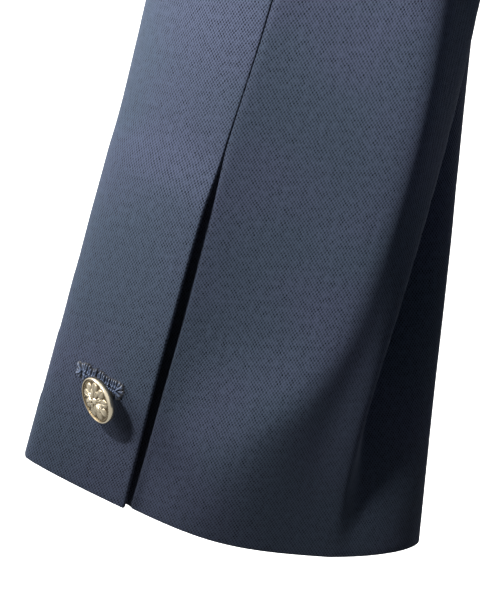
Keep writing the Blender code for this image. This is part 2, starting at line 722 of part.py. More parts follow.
def wall(name, grid, thickness, material, seams=(), present=None, normals=None):
    """One closed solid: the grid outside, a copy moved in by the thickness, and the rim."""
    rows, columns = grid.shape[:2]
    if present is None:
        present = np.ones((rows - 1, columns - 1), bool)
    if normals is None:
        normals = grid_normals(grid)
    grid = retract(grid, seams)
    inner = retract(grid - normals * thickness, seams)
    mesh = bmesh.new()
    outside, inside = {}, {}

    def corner(store, points, key):
        if key not in store:
            store[key] = mesh.verts.new(Vector(points[key] * MM))
        return store[key]

    for i, j in zip(*np.nonzero(present)):
        around = [(i, j), (i, j + 1), (i + 1, j + 1), (i + 1, j)]
        mesh.faces.new([corner(outside, grid, key) for key in around])
        mesh.faces.new([corner(inside, inner, key) for key in reversed(around)])
    partner = {outside[key]: inside[key] for key in outside}
    rim = [
        (loop.vert, loop.link_loop_next.vert)
        for face in mesh.faces
        for loop in face.loops
        if loop.edge.is_boundary and loop.vert in partner
    ]
    for first, second in rim:
        mesh.faces.new([second, first, partner[first], partner[second]])
    return finish_object(name, mesh, material)


def finish_object(name, mesh, material):
    data = bpy.data.meshes.new(name)
    mesh.to_mesh(data)
    mesh.free()
    data.shade_smooth()
    data.set_sharp_from_angle(angle=math.radians(40))
    data.materials.append(material)
    piece = bpy.data.objects.new(name, data)
    bpy.context.scene.collection.objects.link(piece)
    return piece


def button(name, seat, facing, radius, material, rise=0.0):
    """Shank button turned from its profile, standing off the cloth along its normal."""
    facing = Vector(facing).normalized()
    turn = Vector((0, 0, 1)).rotation_difference(facing)
    foot = Vector(seat) + facing * (BUTTON_SEAT + rise)
    mesh = bmesh.new()
    rings = []
    for share_out, share_up in BUTTON_PROFILE:
        sides = BUTTON_SIDES if share_out else 1
        ring = []
        for k in range(sides):
            angle = 2 * math.pi * k / sides
            flat = Vector((math.cos(angle), math.sin(angle), 0)) * share_out * radius
            place = foot + turn @ (flat + Vector((0, 0, share_up * radius)))
            ring.append(mesh.verts.new(place * MM))
        rings.append(ring)
    for lower, upper in zip(rings, rings[1:]):
        for k in range(BUTTON_SIDES):
            around = [lower[k % len(lower)], lower[(k + 1) % len(lower)]]
            around += [upper[(k + 1) % len(upper)], upper[k % len(upper)]]
            mesh.faces.new(list(dict.fromkeys(around)))
    return finish_object(name, mesh, material)


def make_material(name, colour, roughness, metallic):
    material = bpy.data.materials.new(name)
    material.use_nodes = True
    shader = material.node_tree.nodes["Principled BSDF"]
    shader.inputs["Base Color"].default_value = (*colour, 1.0)
    shader.inputs["Roughness"].default_value = roughness
    shader.inputs["Metallic"].default_value = metallic
    return material


# ---------------------------------------------------------------- pieces


def make_back_and_sides(cloth):
    side, back = side_grid(), back_grid()
    _, to_side, to_back = seam_matched_normals(front_grid(), side, back)
    for name, grid, normals, seams in (
        ("back", back, to_back, ("left", "right", "top")),
        ("side", side, to_side, ("left", "right")),
    ):
        wall(f"{name}_left", grid, CLOTH, cloth, seams, normals=normals)
        wall(f"{name}_right", mirrored(grid), CLOTH, cloth, seams, normals=mirrored(normals))


def make_fronts(cloth, metal):
    """Fronts with their lapels; the right one laps over, and the buttons lie on it."""
    under = front_grid()
    normals, _, _ = seam_matched_normals(under, side_grid(), back_grid())
    over = under + normals * closure_lift(under)[..., None]
    wall("front_left", under, FRONT_CLOTH, cloth, ("right", "top"), normals=normals)
    wall(
        "front_right", mirrored(over), FRONT_CLOTH, cloth, ("left", "top"),
        normals=mirrored(normals),
    )
    points, normals = lapel_grid(under)
    wall("lapel_left", points, CLOTH, cloth, normals=normals)
    points, normals = lapel_grid(over)
    wall("lapel_right", mirrored(points), CLOTH, cloth, normals=mirrored(normals))
    tree = search_tree(mirrored(over))
    for name, z in FRONT_BUTTONS.items():
        seat, facing = seen_from_front(tree, 0.0, z)
        button(name, seat, facing, FRONT_BUTTON_RADIUS, metal)


def make_collar(cloth):
    half = collar_half(front_grid(), back_grid())
    other = half * (-1.0, 1.0, 1.0)
    wall("collar", np.concatenate([other[:0:-1], half]), CLOTH, cloth)


def sleeve_normals(top, under):
    """Normals of the two sleeve pieces, the same at both seams above the vent."""
    lap = UNDERLAP_COLUMNS
    ring = [under[:, -2:-1], top, under[:, lap + 1 :], top[:, 1:2]]
    around = grid_normals(np.concatenate(ring, axis=1))[:, 1:-1]
    to_top, to_under = grid_normals(top), grid_normals(under)
    last = top.shape[1] - 1
    sewn = slice(sum(h <= VENT_LENGTH for h in ARM_ROWS), None)
    to_top[:, 0] = to_under[:, -1] = around[:, 0]
    to_top[sewn, last] = to_under[sewn, lap] = around[sewn, last]
    return to_top, to_under


def make_sleeves(cloth, metal):
    (top, top_there), (under, under_there) = sleeve_grid("top"), sleeve_grid("under")
    to_top, to_under = sleeve_normals(top, under)
    sewn = sum(h <= VENT_LENGTH for h in ARM_ROWS)
    for rows, seam, inside, gap in (
        (slice(sewn, None), UNDERLAP_COLUMNS, UNDERLAP_COLUMNS + 1, SEAM_GAP),
        (slice(-CAP_ROWS, None), -1, -2, SEAM_GAP / 2),
    ):
        inward = under[rows, inside] - under[rows, seam]
        under[rows, seam] += gap * inward / np.linalg.norm(inward, axis=1, keepdims=True)
    wall("topsleeve_left", top, CLOTH, cloth, ("left", "right"), top_there, to_top)
    wall("undersleeve_left", under, CLOTH, cloth, ("right",), under_there, to_under)
    top, under, to_top, to_under = (mirrored(grid) for grid in (top, under, to_top, to_under))
    under_there = under_there[:, ::-1]
    wall("topsleeve_right", top, CLOTH, cloth, ("left", "right"), top_there, to_top)
    wall("undersleeve_right", under, CLOTH, cloth, ("left",), under_there, to_under)
    seat, facing = cuff_button_place()
    rise = BUTTON_PROFILE[1][0] * CUFF_BUTTON_RADIUS * math.tan(CUFF_BUTTON_LEAN)
    for side, mirror in (("left", 1.0), ("right", -1.0)):
        flip = np.array([mirror, 1.0, 1.0])
        name = f"button_cuff_{side}"
        button(name, seat * flip, facing * flip, CUFF_BUTTON_RADIUS, metal, rise)


def cuff_button_place():
    """Seat and facing of the left cuff's button, a little in from the vent's edge."""
    tree = search_tree(sleeve_grid("top")[0])
    height = np.array(CUFF_BUTTON_ABOVE_HEM)
    edge = sleeve_seam("back_seam", height)
    degrees = degrees_along(edge, height, CUFF_BUTTON_FROM_EDGE)
    point = sleeve_ring(degrees, height, vent_lift(degrees - edge, height))
    near, normal, _, _ = tree.find_nearest(Vector(point))
    outer, rear = sleeve_axis(height)[2:]
    across = outer * normal.dot(Vector(rear)) - rear * normal.dot(Vector(outer))
    leaning = np.array(normal) + math.tan(CUFF_BUTTON_LEAN) * across
    return np.array(near), leaning


def main():
    for thing in list(bpy.data.objects):
        bpy.data.objects.remove(thing)
    cloth = make_material("navy_wool", (0.022, 0.030, 0.058), 0.85, 0.0)
    metal = make_material("antique_silver", (0.47, 0.42, 0.38), 0.38, 1.0)
    make_back_and_sides(cloth)
    make_fronts(cloth, metal)
    make_collar(cloth)
    make_sleeves(cloth, metal)


main()
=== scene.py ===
"""Navy wool jacket, filled out as if worn, seen close at its left cuff.

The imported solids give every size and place. Each piece of cloth is drawn again here as a
thin shell on its solid's form, fine enough for soft folds and rolled edges, and each
button as a cast one with relief. Tables and sizes are in millimetres. +Z is up, the wearer
faces -Y and the wearer's left is +X.
"""

import math

import bpy
import numpy as np
from mathutils import Matrix


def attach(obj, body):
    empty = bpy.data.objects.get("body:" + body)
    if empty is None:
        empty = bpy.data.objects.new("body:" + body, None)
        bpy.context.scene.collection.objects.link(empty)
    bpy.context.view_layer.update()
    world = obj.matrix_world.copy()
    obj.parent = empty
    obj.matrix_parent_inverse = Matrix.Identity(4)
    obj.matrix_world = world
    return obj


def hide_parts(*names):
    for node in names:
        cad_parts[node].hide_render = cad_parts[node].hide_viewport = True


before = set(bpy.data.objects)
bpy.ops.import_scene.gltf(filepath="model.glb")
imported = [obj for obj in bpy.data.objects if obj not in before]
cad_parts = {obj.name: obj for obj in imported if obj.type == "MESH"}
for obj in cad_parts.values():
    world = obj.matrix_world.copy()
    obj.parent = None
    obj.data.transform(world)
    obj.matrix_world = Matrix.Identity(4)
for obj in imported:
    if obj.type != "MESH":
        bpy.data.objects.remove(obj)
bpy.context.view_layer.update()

MM = 0.001

# ---------------------------------------------------------------- sizes, as in the solids

CLOTH = 1.6
FRONT_CLOTH = 2.0
SEAM_GAP = 0.3
SEAM_SHUT = 0.01  # sewn pieces meet more closely here than the solids do
ARMHOLE_GAP = 0.02  # here too
LAID_ON_GAP = 0.8

HEM_Z = -648.0
NECK_POINT = np.array([72.0, 10.0, 0.0])
SHOULDER_POINT = np.array([206.0, 10.0, -40.0])
SHOULDER_ROUND, SHOULDER_ROUND_FROM = 9.0, 0.55
NAPE = np.array([0.0, 68.0, -12.0])

TORSO_COLUMNS = ("z", "half_width", "front", "back", "centre_y")
TORSO = (
    (-648, 202, 130, 134, 4),
    (-560, 194, 125, 128, 2),
    (-470, 179, 116, 112, 0),
    (-395, 168, 112, 103, 0),
    (-320, 169, 121, 108, 0),
    (-245, 173, 130, 115, 0),
    (-190, 173, 128, 119, 1),
    (-140, 172, 122, 120, 2),
)
TORSO_SQUARENESS = 0.045

SIDE_FRONT_ANGLE = math.radians(66)
SIDE_BACK_ANGLE = math.radians(122)
SIDE_FRONT_TOP_Z = -184.0
SIDE_BACK_TOP_Z = -150.0
UNDERARM_Z = -216.0
ARMHOLE_FRONT_LOWER = np.array([149.0, -66.0, -138.0])
ARMHOLE_FRONT_UPPER = np.array([174.0, -44.0, -66.0])
ARMHOLE_BACK_LOWER = np.array([161.0, 88.0, -120.0])
ARMHOLE_BACK_UPPER = np.array([190.0, 62.0, -60.0])

OVERLAP = 20.0
BREAK_Z = -362.0
ROLL_TOP_X, ROLL_TOP_Z = 60.0, -42.0
ROLL_TOP_SHARE = 1 - ROLL_TOP_Z / SIDE_FRONT_TOP_Z  # from the side-front seam to the shoulder
CUTAWAY_Z, CUTAWAY = -505.0, 66.0
ROLL_DEPTH_COLUMNS = ("z", "y")
ROLL_DEPTH = ((-184, -122), (-140, -107), (-100, -84), (-60, -52), (-28, -17), (0, 10))
BACK_DEPTH_COLUMNS = ("z", "y")
BACK_DEPTH = ((-150, 121), (-110, 116), (-70, 102), (-36, 84), (-12, 68))

# Height, and how far the right front lies out over the left one there
CLOSURE = ((-648, 3.0), (-430, 3.0), (-375, 5.3), (-275, 5.3), (-195, 0), (0, 0))
CLOSURE_WIDTH, CLOSURE_FADE = 26.0, 70.0

LAPEL_START_Z, LAPEL_START_WIDTH = -350.0, 5.0
LAPEL_TIP = (146.0, -104.0)
LAPEL_BELLY = 7.0
LAPEL_ROLL = 2.6
LAPEL_UPPER_GAP = 1.1
NOTCH_SHARE = 0.62
LAPEL_EDGE = ((2.2, -1.0), (2.4, 0.3), (1.6, 2.1))
LAPEL_EDGE_FACES = ((1.0, -0.2), (1.0, 0.15), (0.6, 0.8))

COLLAR_COLUMNS = ("share", "stand", "tilt", "fall_x", "fall_y", "fall_z")
COLLAR = (
    (0.00, 31, 0.0, 0, 92, -30),
    (0.22, 30, 0.0, 46, 87, -30),
    (0.42, 27, 0.0, 88, 66, -28),
    (0.60, 22, 0.1, 117, 28, -22),
    (0.76, 14, 0.4, 129, -12, -26),
    (0.90, 6, 0.8, 134, -38, -38),
    (1.00, 1.2, 1.0, 134, -50, -52),
)
COLLAR_ROLL_RADIUS = 4.0
COLLAR_END_RADIUS = 2.4
COLLAR_LEAN = 0.15
COLLAR_CLEAR = CLOTH + LAID_ON_GAP + LAPEL_UPPER_GAP  # its fall's outside off the body's
COLLAR_END_FROM, COLLAR_KINK_FROM = 0.72, 0.78  # shares of the half collar's length
COLLAR_SEAM_SHARE = 0.66  # of the fall's end, sewn to the lapel's gorge
GORGE_OFFSET = (0.5, 0.75)

SLEEVE_COLUMNS = (
    ("above_hem", "x", "y", "z", "across", "back", "front", "turn")
    + ("slant", "outer_round", "inner_round")
)
SLEEVE = (
    (0, 316, -27, -624, 64, 32, 26, 20, 0.086, 1.14, 1.50),
    (45, 306, -20.5, -580.6, 60, 34, 29, 20, 0.065, 1.26, 1.58),
    (90, 296, -14, -537.2, 56.5, 36, 32, 20, 0.03, 1.42, 1.68),
    (135, 286, -7.6, -493.8, 53, 39, 36, 20, 0.01, 1.62, 1.80),
    (180, 276, -1.1, -450.4, 50.3, 42, 40, 19, 0, 1.80, 1.90),
    (250, 261.5, 5.5, -382, 49, 47, 46, 14, 0, 1.95, 2.00),
    (320, 247, 8.5, -313.5, 50, 54, 53, 7, 0, 2.00, 2.00),
    (391, 232, 8, -243, 50, 60, 60, 0, 0, 2.00, 2.00),
)
BICEPS = SLEEVE[-1][0]
SEAM_COLUMNS = ("above_hem", "back_seam", "front_seam")
SLEEVE_SEAMS = (
    (0, -49.5, 168),
    (36, -53, 167),
    (71, -57, 166),
    (136, -64, 163),
    (195, -73.5, 157),
    (280, -86, 145),
    (391, -98, 130),
)
FOLD_COLUMNS = ("above_hem", "ridge", "hollow_depth", "ridge_height", "return_width")
FOLD = (
    (0, -126, 0, 0, 42),
    (20, -127, 2, 0.6, 42),
    (45, -129, 7, 1.8, 42),
    (90, -137, 15, 2.6, 36),
    (136, -146, 15, 2.6, 32),
    (180, -156, 11, 1.8, 28),
    (225, -168, 5, 0.8, 26),
    (280, -180, 0, 0, 26),
)
RIDGE_BEFORE, RIDGE_BEYOND = 9.0, 5.0
HOLLOW_DROP = 11.0
# Panel between the back seam and the ridge: how far it bulges past a straight line between
# them, where along it the bulge is highest, and how softly it turns there
PANEL_COLUMNS = ("above_hem", "bulge", "peak", "softness")
PANEL = (
    (0, 10.0, 0.42, 0.34),
    (20, 12.5, 0.45, 0.26),
    (36, 13.5, 0.52, 0.20),
    (52, 13.0, 0.63, 0.13),
    (70, 10.5, 0.77, 0.09),
    (110, 10.0, 0.87, 0.07),
    (160, 13.5, 0.90, 0.07),
    (220, 13.0, 0.83, 0.15),
)
PANEL_ENDS_AT, PANEL_FADE = 280.0, 90.0  # it fades into the round upper arm
HEM_RISE, HEM_RISE_FADE = 0.8, 50.0  # the hem rises this much where the panel bulges most

VENT_LENGTH = 136.0
UNDERLAP = 28.0
VENT_GAP = 0.6
VENT_RAMP = 24.0
VENT_STANDS_OFF, STANDS_OFF_WIDTH = 1.2, 26.0  # the second in degrees round the sleeve
LAP_ENDS, LAP_FADE = 70.0, 24.0  # degrees from the vent's edge
# Beside the vent's edge the under sleeve falls away: how deep, and how far past the edge.
# Above the vent this goes on as the shallow line of the sewn seam.
DIP_COLUMNS = ("above_hem", "depth", "width")
DIP = (
    (0, 1.0, 0.3),
    (20, 2.6, 0.5),
    (45, 3.6, 0.6),
    (85, 3.3, 0.5),
    (112, 1.8, 0.2),
    (136, 0.7, 0.0),
    (200, 0.6, 0.0),
    (300, 0.4, 0.0),
    (391, 0.0, 0.0),
)
DIP_RISE = 2.4
DIP_LAP_END, DIP_LAP_FADE = 30.0, 26.0
RING_MM_PER_DEGREE = 0.85  # on the cuff, near its back seam

FRONT_BUTTON_HEIGHTS = {"upper": -376.0, "lower": -478.0}
CUFF_BUTTON_ABOVE_HEM = 40.0
CUFF_BUTTON_FROM_EDGE = 12.5

# ---------------------------------------------------------------- fineness of the shells

BODY_ROWS = 132
YOKE_ROWS, NECK_ROWS = 42, 10
BACK_CENTRE_ROWS, BACK_NECK_ROWS = 36, 30
FRONT_COLUMNS = 62
BACK_COLUMNS = 56
SIDE_COLUMNS = 50
CAP_ROWS = 36
ARM_STEP = 3.0
VENT_ROWS = 52
TOP_COLUMNS = 110
UNDER_COLUMNS = 116
UNDER_CROWD = 0.25  # columns lie closer by the vent
UNDERLAP_COLUMNS = 9
LAPEL_ROWS, LAPEL_COLUMNS = 22, 14
COLLAR_ROWS, ROLL_COLUMNS, FALL_COLUMNS = 34, 8, 8


def smoothstep(value):
    """0 below 0, 1 above 1, and a smooth ramp between."""
    t = np.clip(value, 0.0, 1.0)
    return t * t * (3 - 2 * t)


def lerp(a, b, share):
    return a + (b - a) * share


def unit(vectors):
    return vectors / np.maximum(np.linalg.norm(vectors, axis=-1, keepdims=True), 1e-12)


def cubic(t, start, leave, end, arrive):
    """Cubic curve from start at t 0 to end at t 1, with the given slopes there."""
    return (
        (2 * t**3 - 3 * t**2 + 1) * start
        + (t**3 - 2 * t**2 + t) * leave
        + (-2 * t**3 + 3 * t**2) * end
        + (t**3 - t**2) * arrive
    )


def curve_through(at, stations, values):
    """Cubic curve through values at rising stations; its slopes are those of the neighbours."""
    stations = np.asarray(stations, float)
    values = np.asarray(values, float)
    slopes = np.gradient(values, stations, axis=0)
    at = np.clip(at, stations[0], stations[-1])
    k = np.clip(np.searchsorted(stations, at, side="right") - 1, 0, len(stations) - 2)
    step = stations[k + 1] - stations[k]
    t = (at - stations[k]) / step
    extra = (None,) * (values.ndim - 1)
    t, step = t[(..., *extra)], step[(..., *extra)]
    return cubic(t, values[k], step * slopes[k], values[k + 1], step * slopes[k + 1])


def from_table(table, columns, name, at):
    """A column of a table, as a smooth curve of the table's first column."""
    rows = np.array(table, float)
    return curve_through(np.asarray(at, float), rows[:, 0], rows[:, columns.index(name)])


def along_line(at, stations, points):
    """Points between those of a line, at places among its rising stations."""
    return np.stack([np.interp(at, stations, column) for column in points.T], 1)


def bezier(a, b, c, d, t):
    """Cubic curve from a to d that leaves towards b and arrives from c."""
    t = np.asarray(t, float)[..., None]
    return (1 - t) ** 3 * a + 3 * (1 - t) ** 2 * t * b + 3 * (1 - t) * t**2 * c + t**3 * d


def grid_normals(grid):
    """Unit normal at each point of a grid, from its neighbours: columns cross rows."""
    return unit(np.cross(np.gradient(grid, axis=1), np.gradient(grid, axis=0)))


def mirrored(grid):
    """The same panel for the wearer's right, with its columns turned round to face out."""
    return (grid * (-1.0, 1.0, 1.0))[:, ::-1]


# ---------------------------------------------------------------- body panels


def torso_point(theta, z):
    """Body ring at height z: theta is 0 at centre front and pi at centre back."""
    theta, z = np.broadcast_arrays(np.asarray(theta, float), np.asarray(z, float))
    width, front, back, centre = (
        from_table(TORSO, TORSO_COLUMNS, name, z) for name in TORSO_COLUMNS[1:]
    )
    square = 1 + TORSO_SQUARENESS * np.sin(2 * theta) ** 2
    depth = np.where(np.cos(theta) > 0, front, back)
    x = width * np.sin(theta) * square
    return np.stack([x, centre - depth * np.cos(theta) * square, z], -1)


def torso_angle(x, z):
    """Ring angle in front at which the body has each x at each height."""
    angles = np.radians(np.linspace(-30, 80, 111))
    ring = torso_point(angles[None, :], z[:, None])[..., 0]
    return np.array([np.interp(value, row, angles) for value, row in zip(x, ring)])


def front_edge_x(z):
    """Left front's edge: cut away at the hem, past the centre, then the lapel's roll line."""
    roll = lerp(-OVERLAP, ROLL_TOP_X, (z - BREAK_Z) / (ROLL_TOP_Z - BREAK_Z))
    below = np.clip((CUTAWAY_Z - z) / (CUTAWAY_Z - HEM_Z), 0, 1)
    return np.where(z > BREAK_Z, roll, -OVERLAP + CUTAWAY * (1 - np.sqrt(1 - below**2)))


def armhole_front(share):
    start = torso_point(SIDE_FRONT_ANGLE, SIDE_FRONT_TOP_Z)
    return bezier(start, ARMHOLE_FRONT_LOWER, ARMHOLE_FRONT_UPPER, SHOULDER_POINT, share)


def armhole_back(share):
    start = torso_point(SIDE_BACK_ANGLE, SIDE_BACK_TOP_Z)
    return bezier(start, ARMHOLE_BACK_LOWER, ARMHOLE_BACK_UPPER, SHOULDER_POINT, share)


def underarm_z(share):
    """Height of the armhole under the arm: its chord less a half sine wave's scoop."""
    chord = lerp(SIDE_BACK_TOP_Z, SIDE_FRONT_TOP_Z, share)
    deepest = (SIDE_BACK_TOP_Z + SIDE_FRONT_TOP_Z) / 2 - UNDERARM_Z
    return chord - deepest * np.sin(np.pi * share) ** 0.85


def upper_rows(base, edge, inner, share, fade):
    """Rows between two ends above a base row, which fade its bulge and round the shoulder."""
    across = np.linspace(0, 1, len(base))[None, :, None]
    bulge = (base - lerp(base[0], base[-1], across[0]))[None]
    up = share[1:, None, None]
    turn = np.clip((up - SHOULDER_ROUND_FROM) / (1 - SHOULDER_ROUND_FROM), 0, 1)
    crown = SHOULDER_ROUND * np.sin(np.pi * turn)
    full = np.sin(np.pi * across) ** 0.6 * np.array([0.0, 0.0, 1.0])
    return (
        lerp(edge[1:, None], inner[:, None], across) + (1 - up) ** fade * bulge + crown * full
    )


def body_shares():
    return np.linspace(0, 1, BODY_ROWS + 1)


def yoke_shares():
    """Rows of the front from the side-front seam (0) to the shoulder (1)."""
    below = np.linspace(0, ROLL_TOP_SHARE, YOKE_ROWS + 1)
    return np.concatenate([below, np.linspace(ROLL_TOP_SHARE, 1, NECK_ROWS + 1)[1:]])


def front_grid():
    """Left front: rows from hem to shoulder seam, columns from front edge to side seam."""
    columns = np.linspace(0, 1, FRONT_COLUMNS + 1)
    z = lerp(HEM_Z, SIDE_FRONT_TOP_Z, body_shares())
    inner = torso_angle(front_edge_x(z), z)[:, None]
    lower = torso_point(lerp(SIDE_FRONT_ANGLE, inner, columns), z[:, None])
    share = yoke_shares()
    z = lerp(SIDE_FRONT_TOP_Z, 0.0, share)[1:]
    roll_end = np.clip((z - ROLL_TOP_Z) / -ROLL_TOP_Z, 0, 1)
    x = np.where(z < ROLL_TOP_Z, front_edge_x(z), lerp(ROLL_TOP_X, NECK_POINT[0], roll_end))
    inner = np.stack([x, from_table(ROLL_DEPTH, ROLL_DEPTH_COLUMNS, "y", z), z], 1)
    inner[:, 1] += (lower[-1, -1, 1] - ROLL_DEPTH[0][1]) * (1 - share[1:])
    upper = upper_rows(lower[-1], armhole_front(share), inner, share, 0.8)
    return np.concatenate([lower, upper])[:, ::-1]


def back_grid():
    """Left back: rows from hem to shoulder seam, columns from side seam to centre back."""
    columns = np.linspace(0, 1, BACK_COLUMNS + 1)
    z = lerp(HEM_Z, SIDE_BACK_TOP_Z, body_shares())
    lower = torso_point(lerp(SIDE_BACK_ANGLE, math.pi, columns), z[:, None])
    centre_share = np.linspace(0, 1, BACK_CENTRE_ROWS + 1)[1:]
    z = lerp(SIDE_BACK_TOP_Z, NAPE[2], centre_share)
    y = from_table(BACK_DEPTH, BACK_DEPTH_COLUMNS, "y", z)
    y += (lower[-1, -1, 1] - BACK_DEPTH[0][1]) * (1 - centre_share)
    turn = np.linspace(0, math.pi / 2, BACK_NECK_ROWS + 1)[1:]
    neck = np.stack(
        [
            NECK_POINT[0] * np.sin(turn),
            lerp(NECK_POINT[1], NAPE[1], np.cos(turn)),
            NAPE[2] * (1 - np.sin(turn) ** 2),
        ],
        1,
    )
    inner = np.vstack([np.stack([0 * z, y, z], 1), neck])
    low = np.linspace(0, 0.5, BACK_CENTRE_ROWS + 1)
    share = np.concatenate([low, np.linspace(0.5, 1, BACK_NECK_ROWS + 1)[1:]])
    upper = upper_rows(lower[-1], armhole_back(share), inner, share, 0.7)
    return np.concatenate([lower, upper])


def side_grid():
    """Left side panel: rows from hem to the scoop under the arm, columns front to back."""
    columns = np.linspace(1, 0, SIDE_COLUMNS + 1)
    angle = lerp(SIDE_BACK_ANGLE, SIDE_FRONT_ANGLE, columns)
    z = lerp(HEM_Z, underarm_z(columns), body_shares()[:, None])
    return torso_point(angle, z)


# Soft creases of wear, listed for each side: from a point to a point, then how wide
# and how high. Below 0 it is a trough.
CREASES = {
    "left": (
        ((142, -82, -262), (92, -118, -318), 13, 2.6),
        ((148, -70, -292), (100, -108, -352), 11, -2.4),
        ((128, -98, -345), (62, -118, -372), 12, 2.4),
        ((120, -92, -392), (58, -114, -384), 11, -2.2),
        ((132, -84, -430), (70, -116, -470), 16, 2.0),
        ((160, 70, -236), (96, 106, -318), 14, 2.8),
        ((164, 52, -282), (104, 100, -366), 12, -2.6),
        ((150, 74, -352), (70, 104, -404), 13, 2.4),
        ((120, 96, -430), (58, 116, -520), 20, -2.6),
        ((168, 20, -300), (160, -10, -372), 12, -2.0),
        ((170, 34, -402), (172, -6, -470), 16, 2.2),
        ((262, -46, -356), (226, -34, -382), 9, -3.2),
        ((272, -44, -338), (232, -50, -352), 8, 3.0),
        ((286, -20, -372), (244, -38, -402), 9, 2.6),
        ((288, 2, -352), (262, -38, -328), 10, -2.4),
        ((252, 60, -300), (210, 46, -330), 11, 2.2),
        ((284, 12, -250), (262, 56, -218), 14, -2.8),
        ((278, -20, -222), (250, -50, -256), 13, 2.6),
        ((222, 58, -186), (252, 58, -232), 11, 2.4),
    ),
    "right": (
        ((138, -86, -276), (86, -120, -330), 14, 2.8),
        ((146, -74, -306), (104, -104, -362), 11, -2.2),
        ((120, -102, -354), (58, -118, -376), 11, 2.2),
        ((126, -88, -402), (56, -114, -386), 12, -2.4),
        ((128, -88, -446), (84, -112, -500), 17, 2.2),
        ((158, 74, -246), (88, 108, -326), 13, 2.6),
        ((162, 56, -296), (110, 96, -360), 12, -2.4),
        ((146, 78, -366), (64, 106, -412), 14, 2.6),
        ((112, 100, -440), (66, 116, -536), 20, -2.4),
        ((168, 16, -312), (162, -12, -360), 11, -1.8),
        ((171, 30, -414), (173, -10, -486), 16, 2.0),
        ((264, -46, -348), (228, -36, -372), 9, -3.0),
        ((274, -42, -328), (234, -50, -340), 8, 2.8),
        ((287, -18, -382), (246, -36, -410), 9, 2.8),
        ((287, 6, -342), (260, -40, -318), 10, -2.2),
        ((254, 58, -312), (212, 46, -336), 11, 2.4),
        ((283, 16, -262), (258, 58, -228), 14, -2.6),
        ((277, -24, -234), (248, -50, -264), 13, 2.4),
        ((224, 58, -196), (250, 58, -244), 11, 2.2),
    ),
}


def creased(grid, normals, side):
    """The grid with each crease raised along its normals.

    A crease's height is a bell over the distance from its line, and fades to its two ends.
    """
    rise = np.zeros(grid.shape[:2])
    for start, end, width, height in CREASES[side]:
        start, run = np.array(start, float), np.array(end, float) - np.array(start, float)
        t = ((grid - start) @ run) / (run @ run)
        away = np.linalg.norm(grid - start - np.clip(t, 0, 1)[..., None] * run, axis=-1)
        along = np.clip((t + 0.35) / 1.7, 0, 1)
        rise += height * np.exp(-((away / width) ** 2)) * np.sin(np.pi * along) ** 0.8
    return grid + normals * rise[..., None]


def closure_lift(grid):
    """How far out the right front lies at each point of the left front's grid."""
    heights, lifts = np.array(CLOSURE).T
    lift = np.interp(grid[..., 2], heights, lifts)
    return lift * smoothstep(1 - (grid[..., 0] - CLOSURE_WIDTH) / CLOSURE_FADE)


# ---------------------------------------------------------------- sleeve


def sleeve_axis(above_hem):
    """Centre of the ring at heights above the hem, and its down, outer and rear directions."""
    centre, before, after = (
        np.stack([from_table(SLEEVE, SLEEVE_COLUMNS, name, h) for name in "xyz"], -1)
        for h in (above_hem, above_hem - 1, above_hem + 1)
    )
    down = unit(before - after)
    turn = np.radians(from_table(SLEEVE, SLEEVE_COLUMNS, "turn", above_hem))
    outer = np.stack([np.cos(turn), np.sin(turn), 0 * turn], -1)
    outer = unit(outer - down * (outer * down).sum(-1, keepdims=True))
    return centre, down, outer, np.cross(outer, down)


def fold_height(degrees, above_hem):
    """How far the fold moves the cloth out (ridge) or in (hollow) at each ring angle."""
    ridge, depth, height, width = (
        from_table(FOLD, FOLD_COLUMNS, name, above_hem) for name in FOLD_COLUMNS[1:]
    )
    beyond = (ridge - degrees + 180) % 360 - 180
    crest = np.exp(-((beyond / np.where(beyond < 0, RIDGE_BEFORE, RIDGE_BEYOND)) ** 2))
    back_out = np.clip(1 - (beyond - HOLLOW_DROP) / width, 0, 1)
    hollow = smoothstep(beyond / HOLLOW_DROP) * back_out**1.2
    return height * crest - depth * hollow


def ring_profile(degrees, above_hem):
    """Outer and rear offsets of a ring's point, and the same two parts of its normal.

    Each quarter is |outer/across|**n + |rear/through|**n = 1, with that quarter's n.
    """
    across, back, front, outer_round, inner_round = (
        from_table(SLEEVE, SLEEVE_COLUMNS, name, above_hem)
        for name in ("across", "back", "front", "outer_round", "inner_round")
    )
    angle = np.radians(degrees)
    cos, sin = np.cos(angle), -np.sin(angle)
    power = np.where(sin < 0, 2.0, np.where(cos > 0, outer_round, inner_round))
    through = np.where(sin < 0, front, back)
    size = (np.abs(cos) ** power + np.abs(sin) ** power) ** (-1 / power)
    cos, sin = cos * size, sin * size
    face_out = np.sign(cos) * np.abs(cos) ** (power - 1) / across
    face_rear = np.sign(sin) * np.abs(sin) ** (power - 1) / through
    length = np.hypot(face_out, face_rear)
    return across * cos, through * sin, face_out / length, face_rear / length


def panel_back(degrees, above_hem, out, back):
    """Rear offsets of the ring with its panel turned, and the bulge there as a share of its height.

    The panel runs straight from the back seam to the ridge, but for a bulge: a hyperbola
    over the line between the two, less the line between the hyperbola's own ends.
    """
    seam_out, seam_back = ring_profile(sleeve_seam("back_seam", above_hem), above_hem)[:2]
    ridge = from_table(FOLD, FOLD_COLUMNS, "ridge", above_hem)
    ridge_out, ridge_back = ring_profile(ridge, above_hem)[:2]
    t = (seam_out - out) / (seam_out - ridge_out)
    bulge, peak, softness = (
        from_table(PANEL, PANEL_COLUMNS, name, above_hem) for name in PANEL_COLUMNS[1:]
    )

    def over(at):
        return -np.hypot(at - peak, softness)

    shape = over(t) - lerp(over(0.0), over(1.0), t)
    share = shape / (over(peak) - lerp(over(0.0), over(1.0), peak))
    turned = lerp(seam_back, ridge_back, t) + bulge * share
    fade = smoothstep((PANEL_ENDS_AT - above_hem) / PANEL_FADE)
    within = (t > 0) & (t < 1) & (np.sin(np.radians(degrees)) < 0)
    return np.where(within, lerp(back, turned, fade), back), np.where(within, share, 0.0)


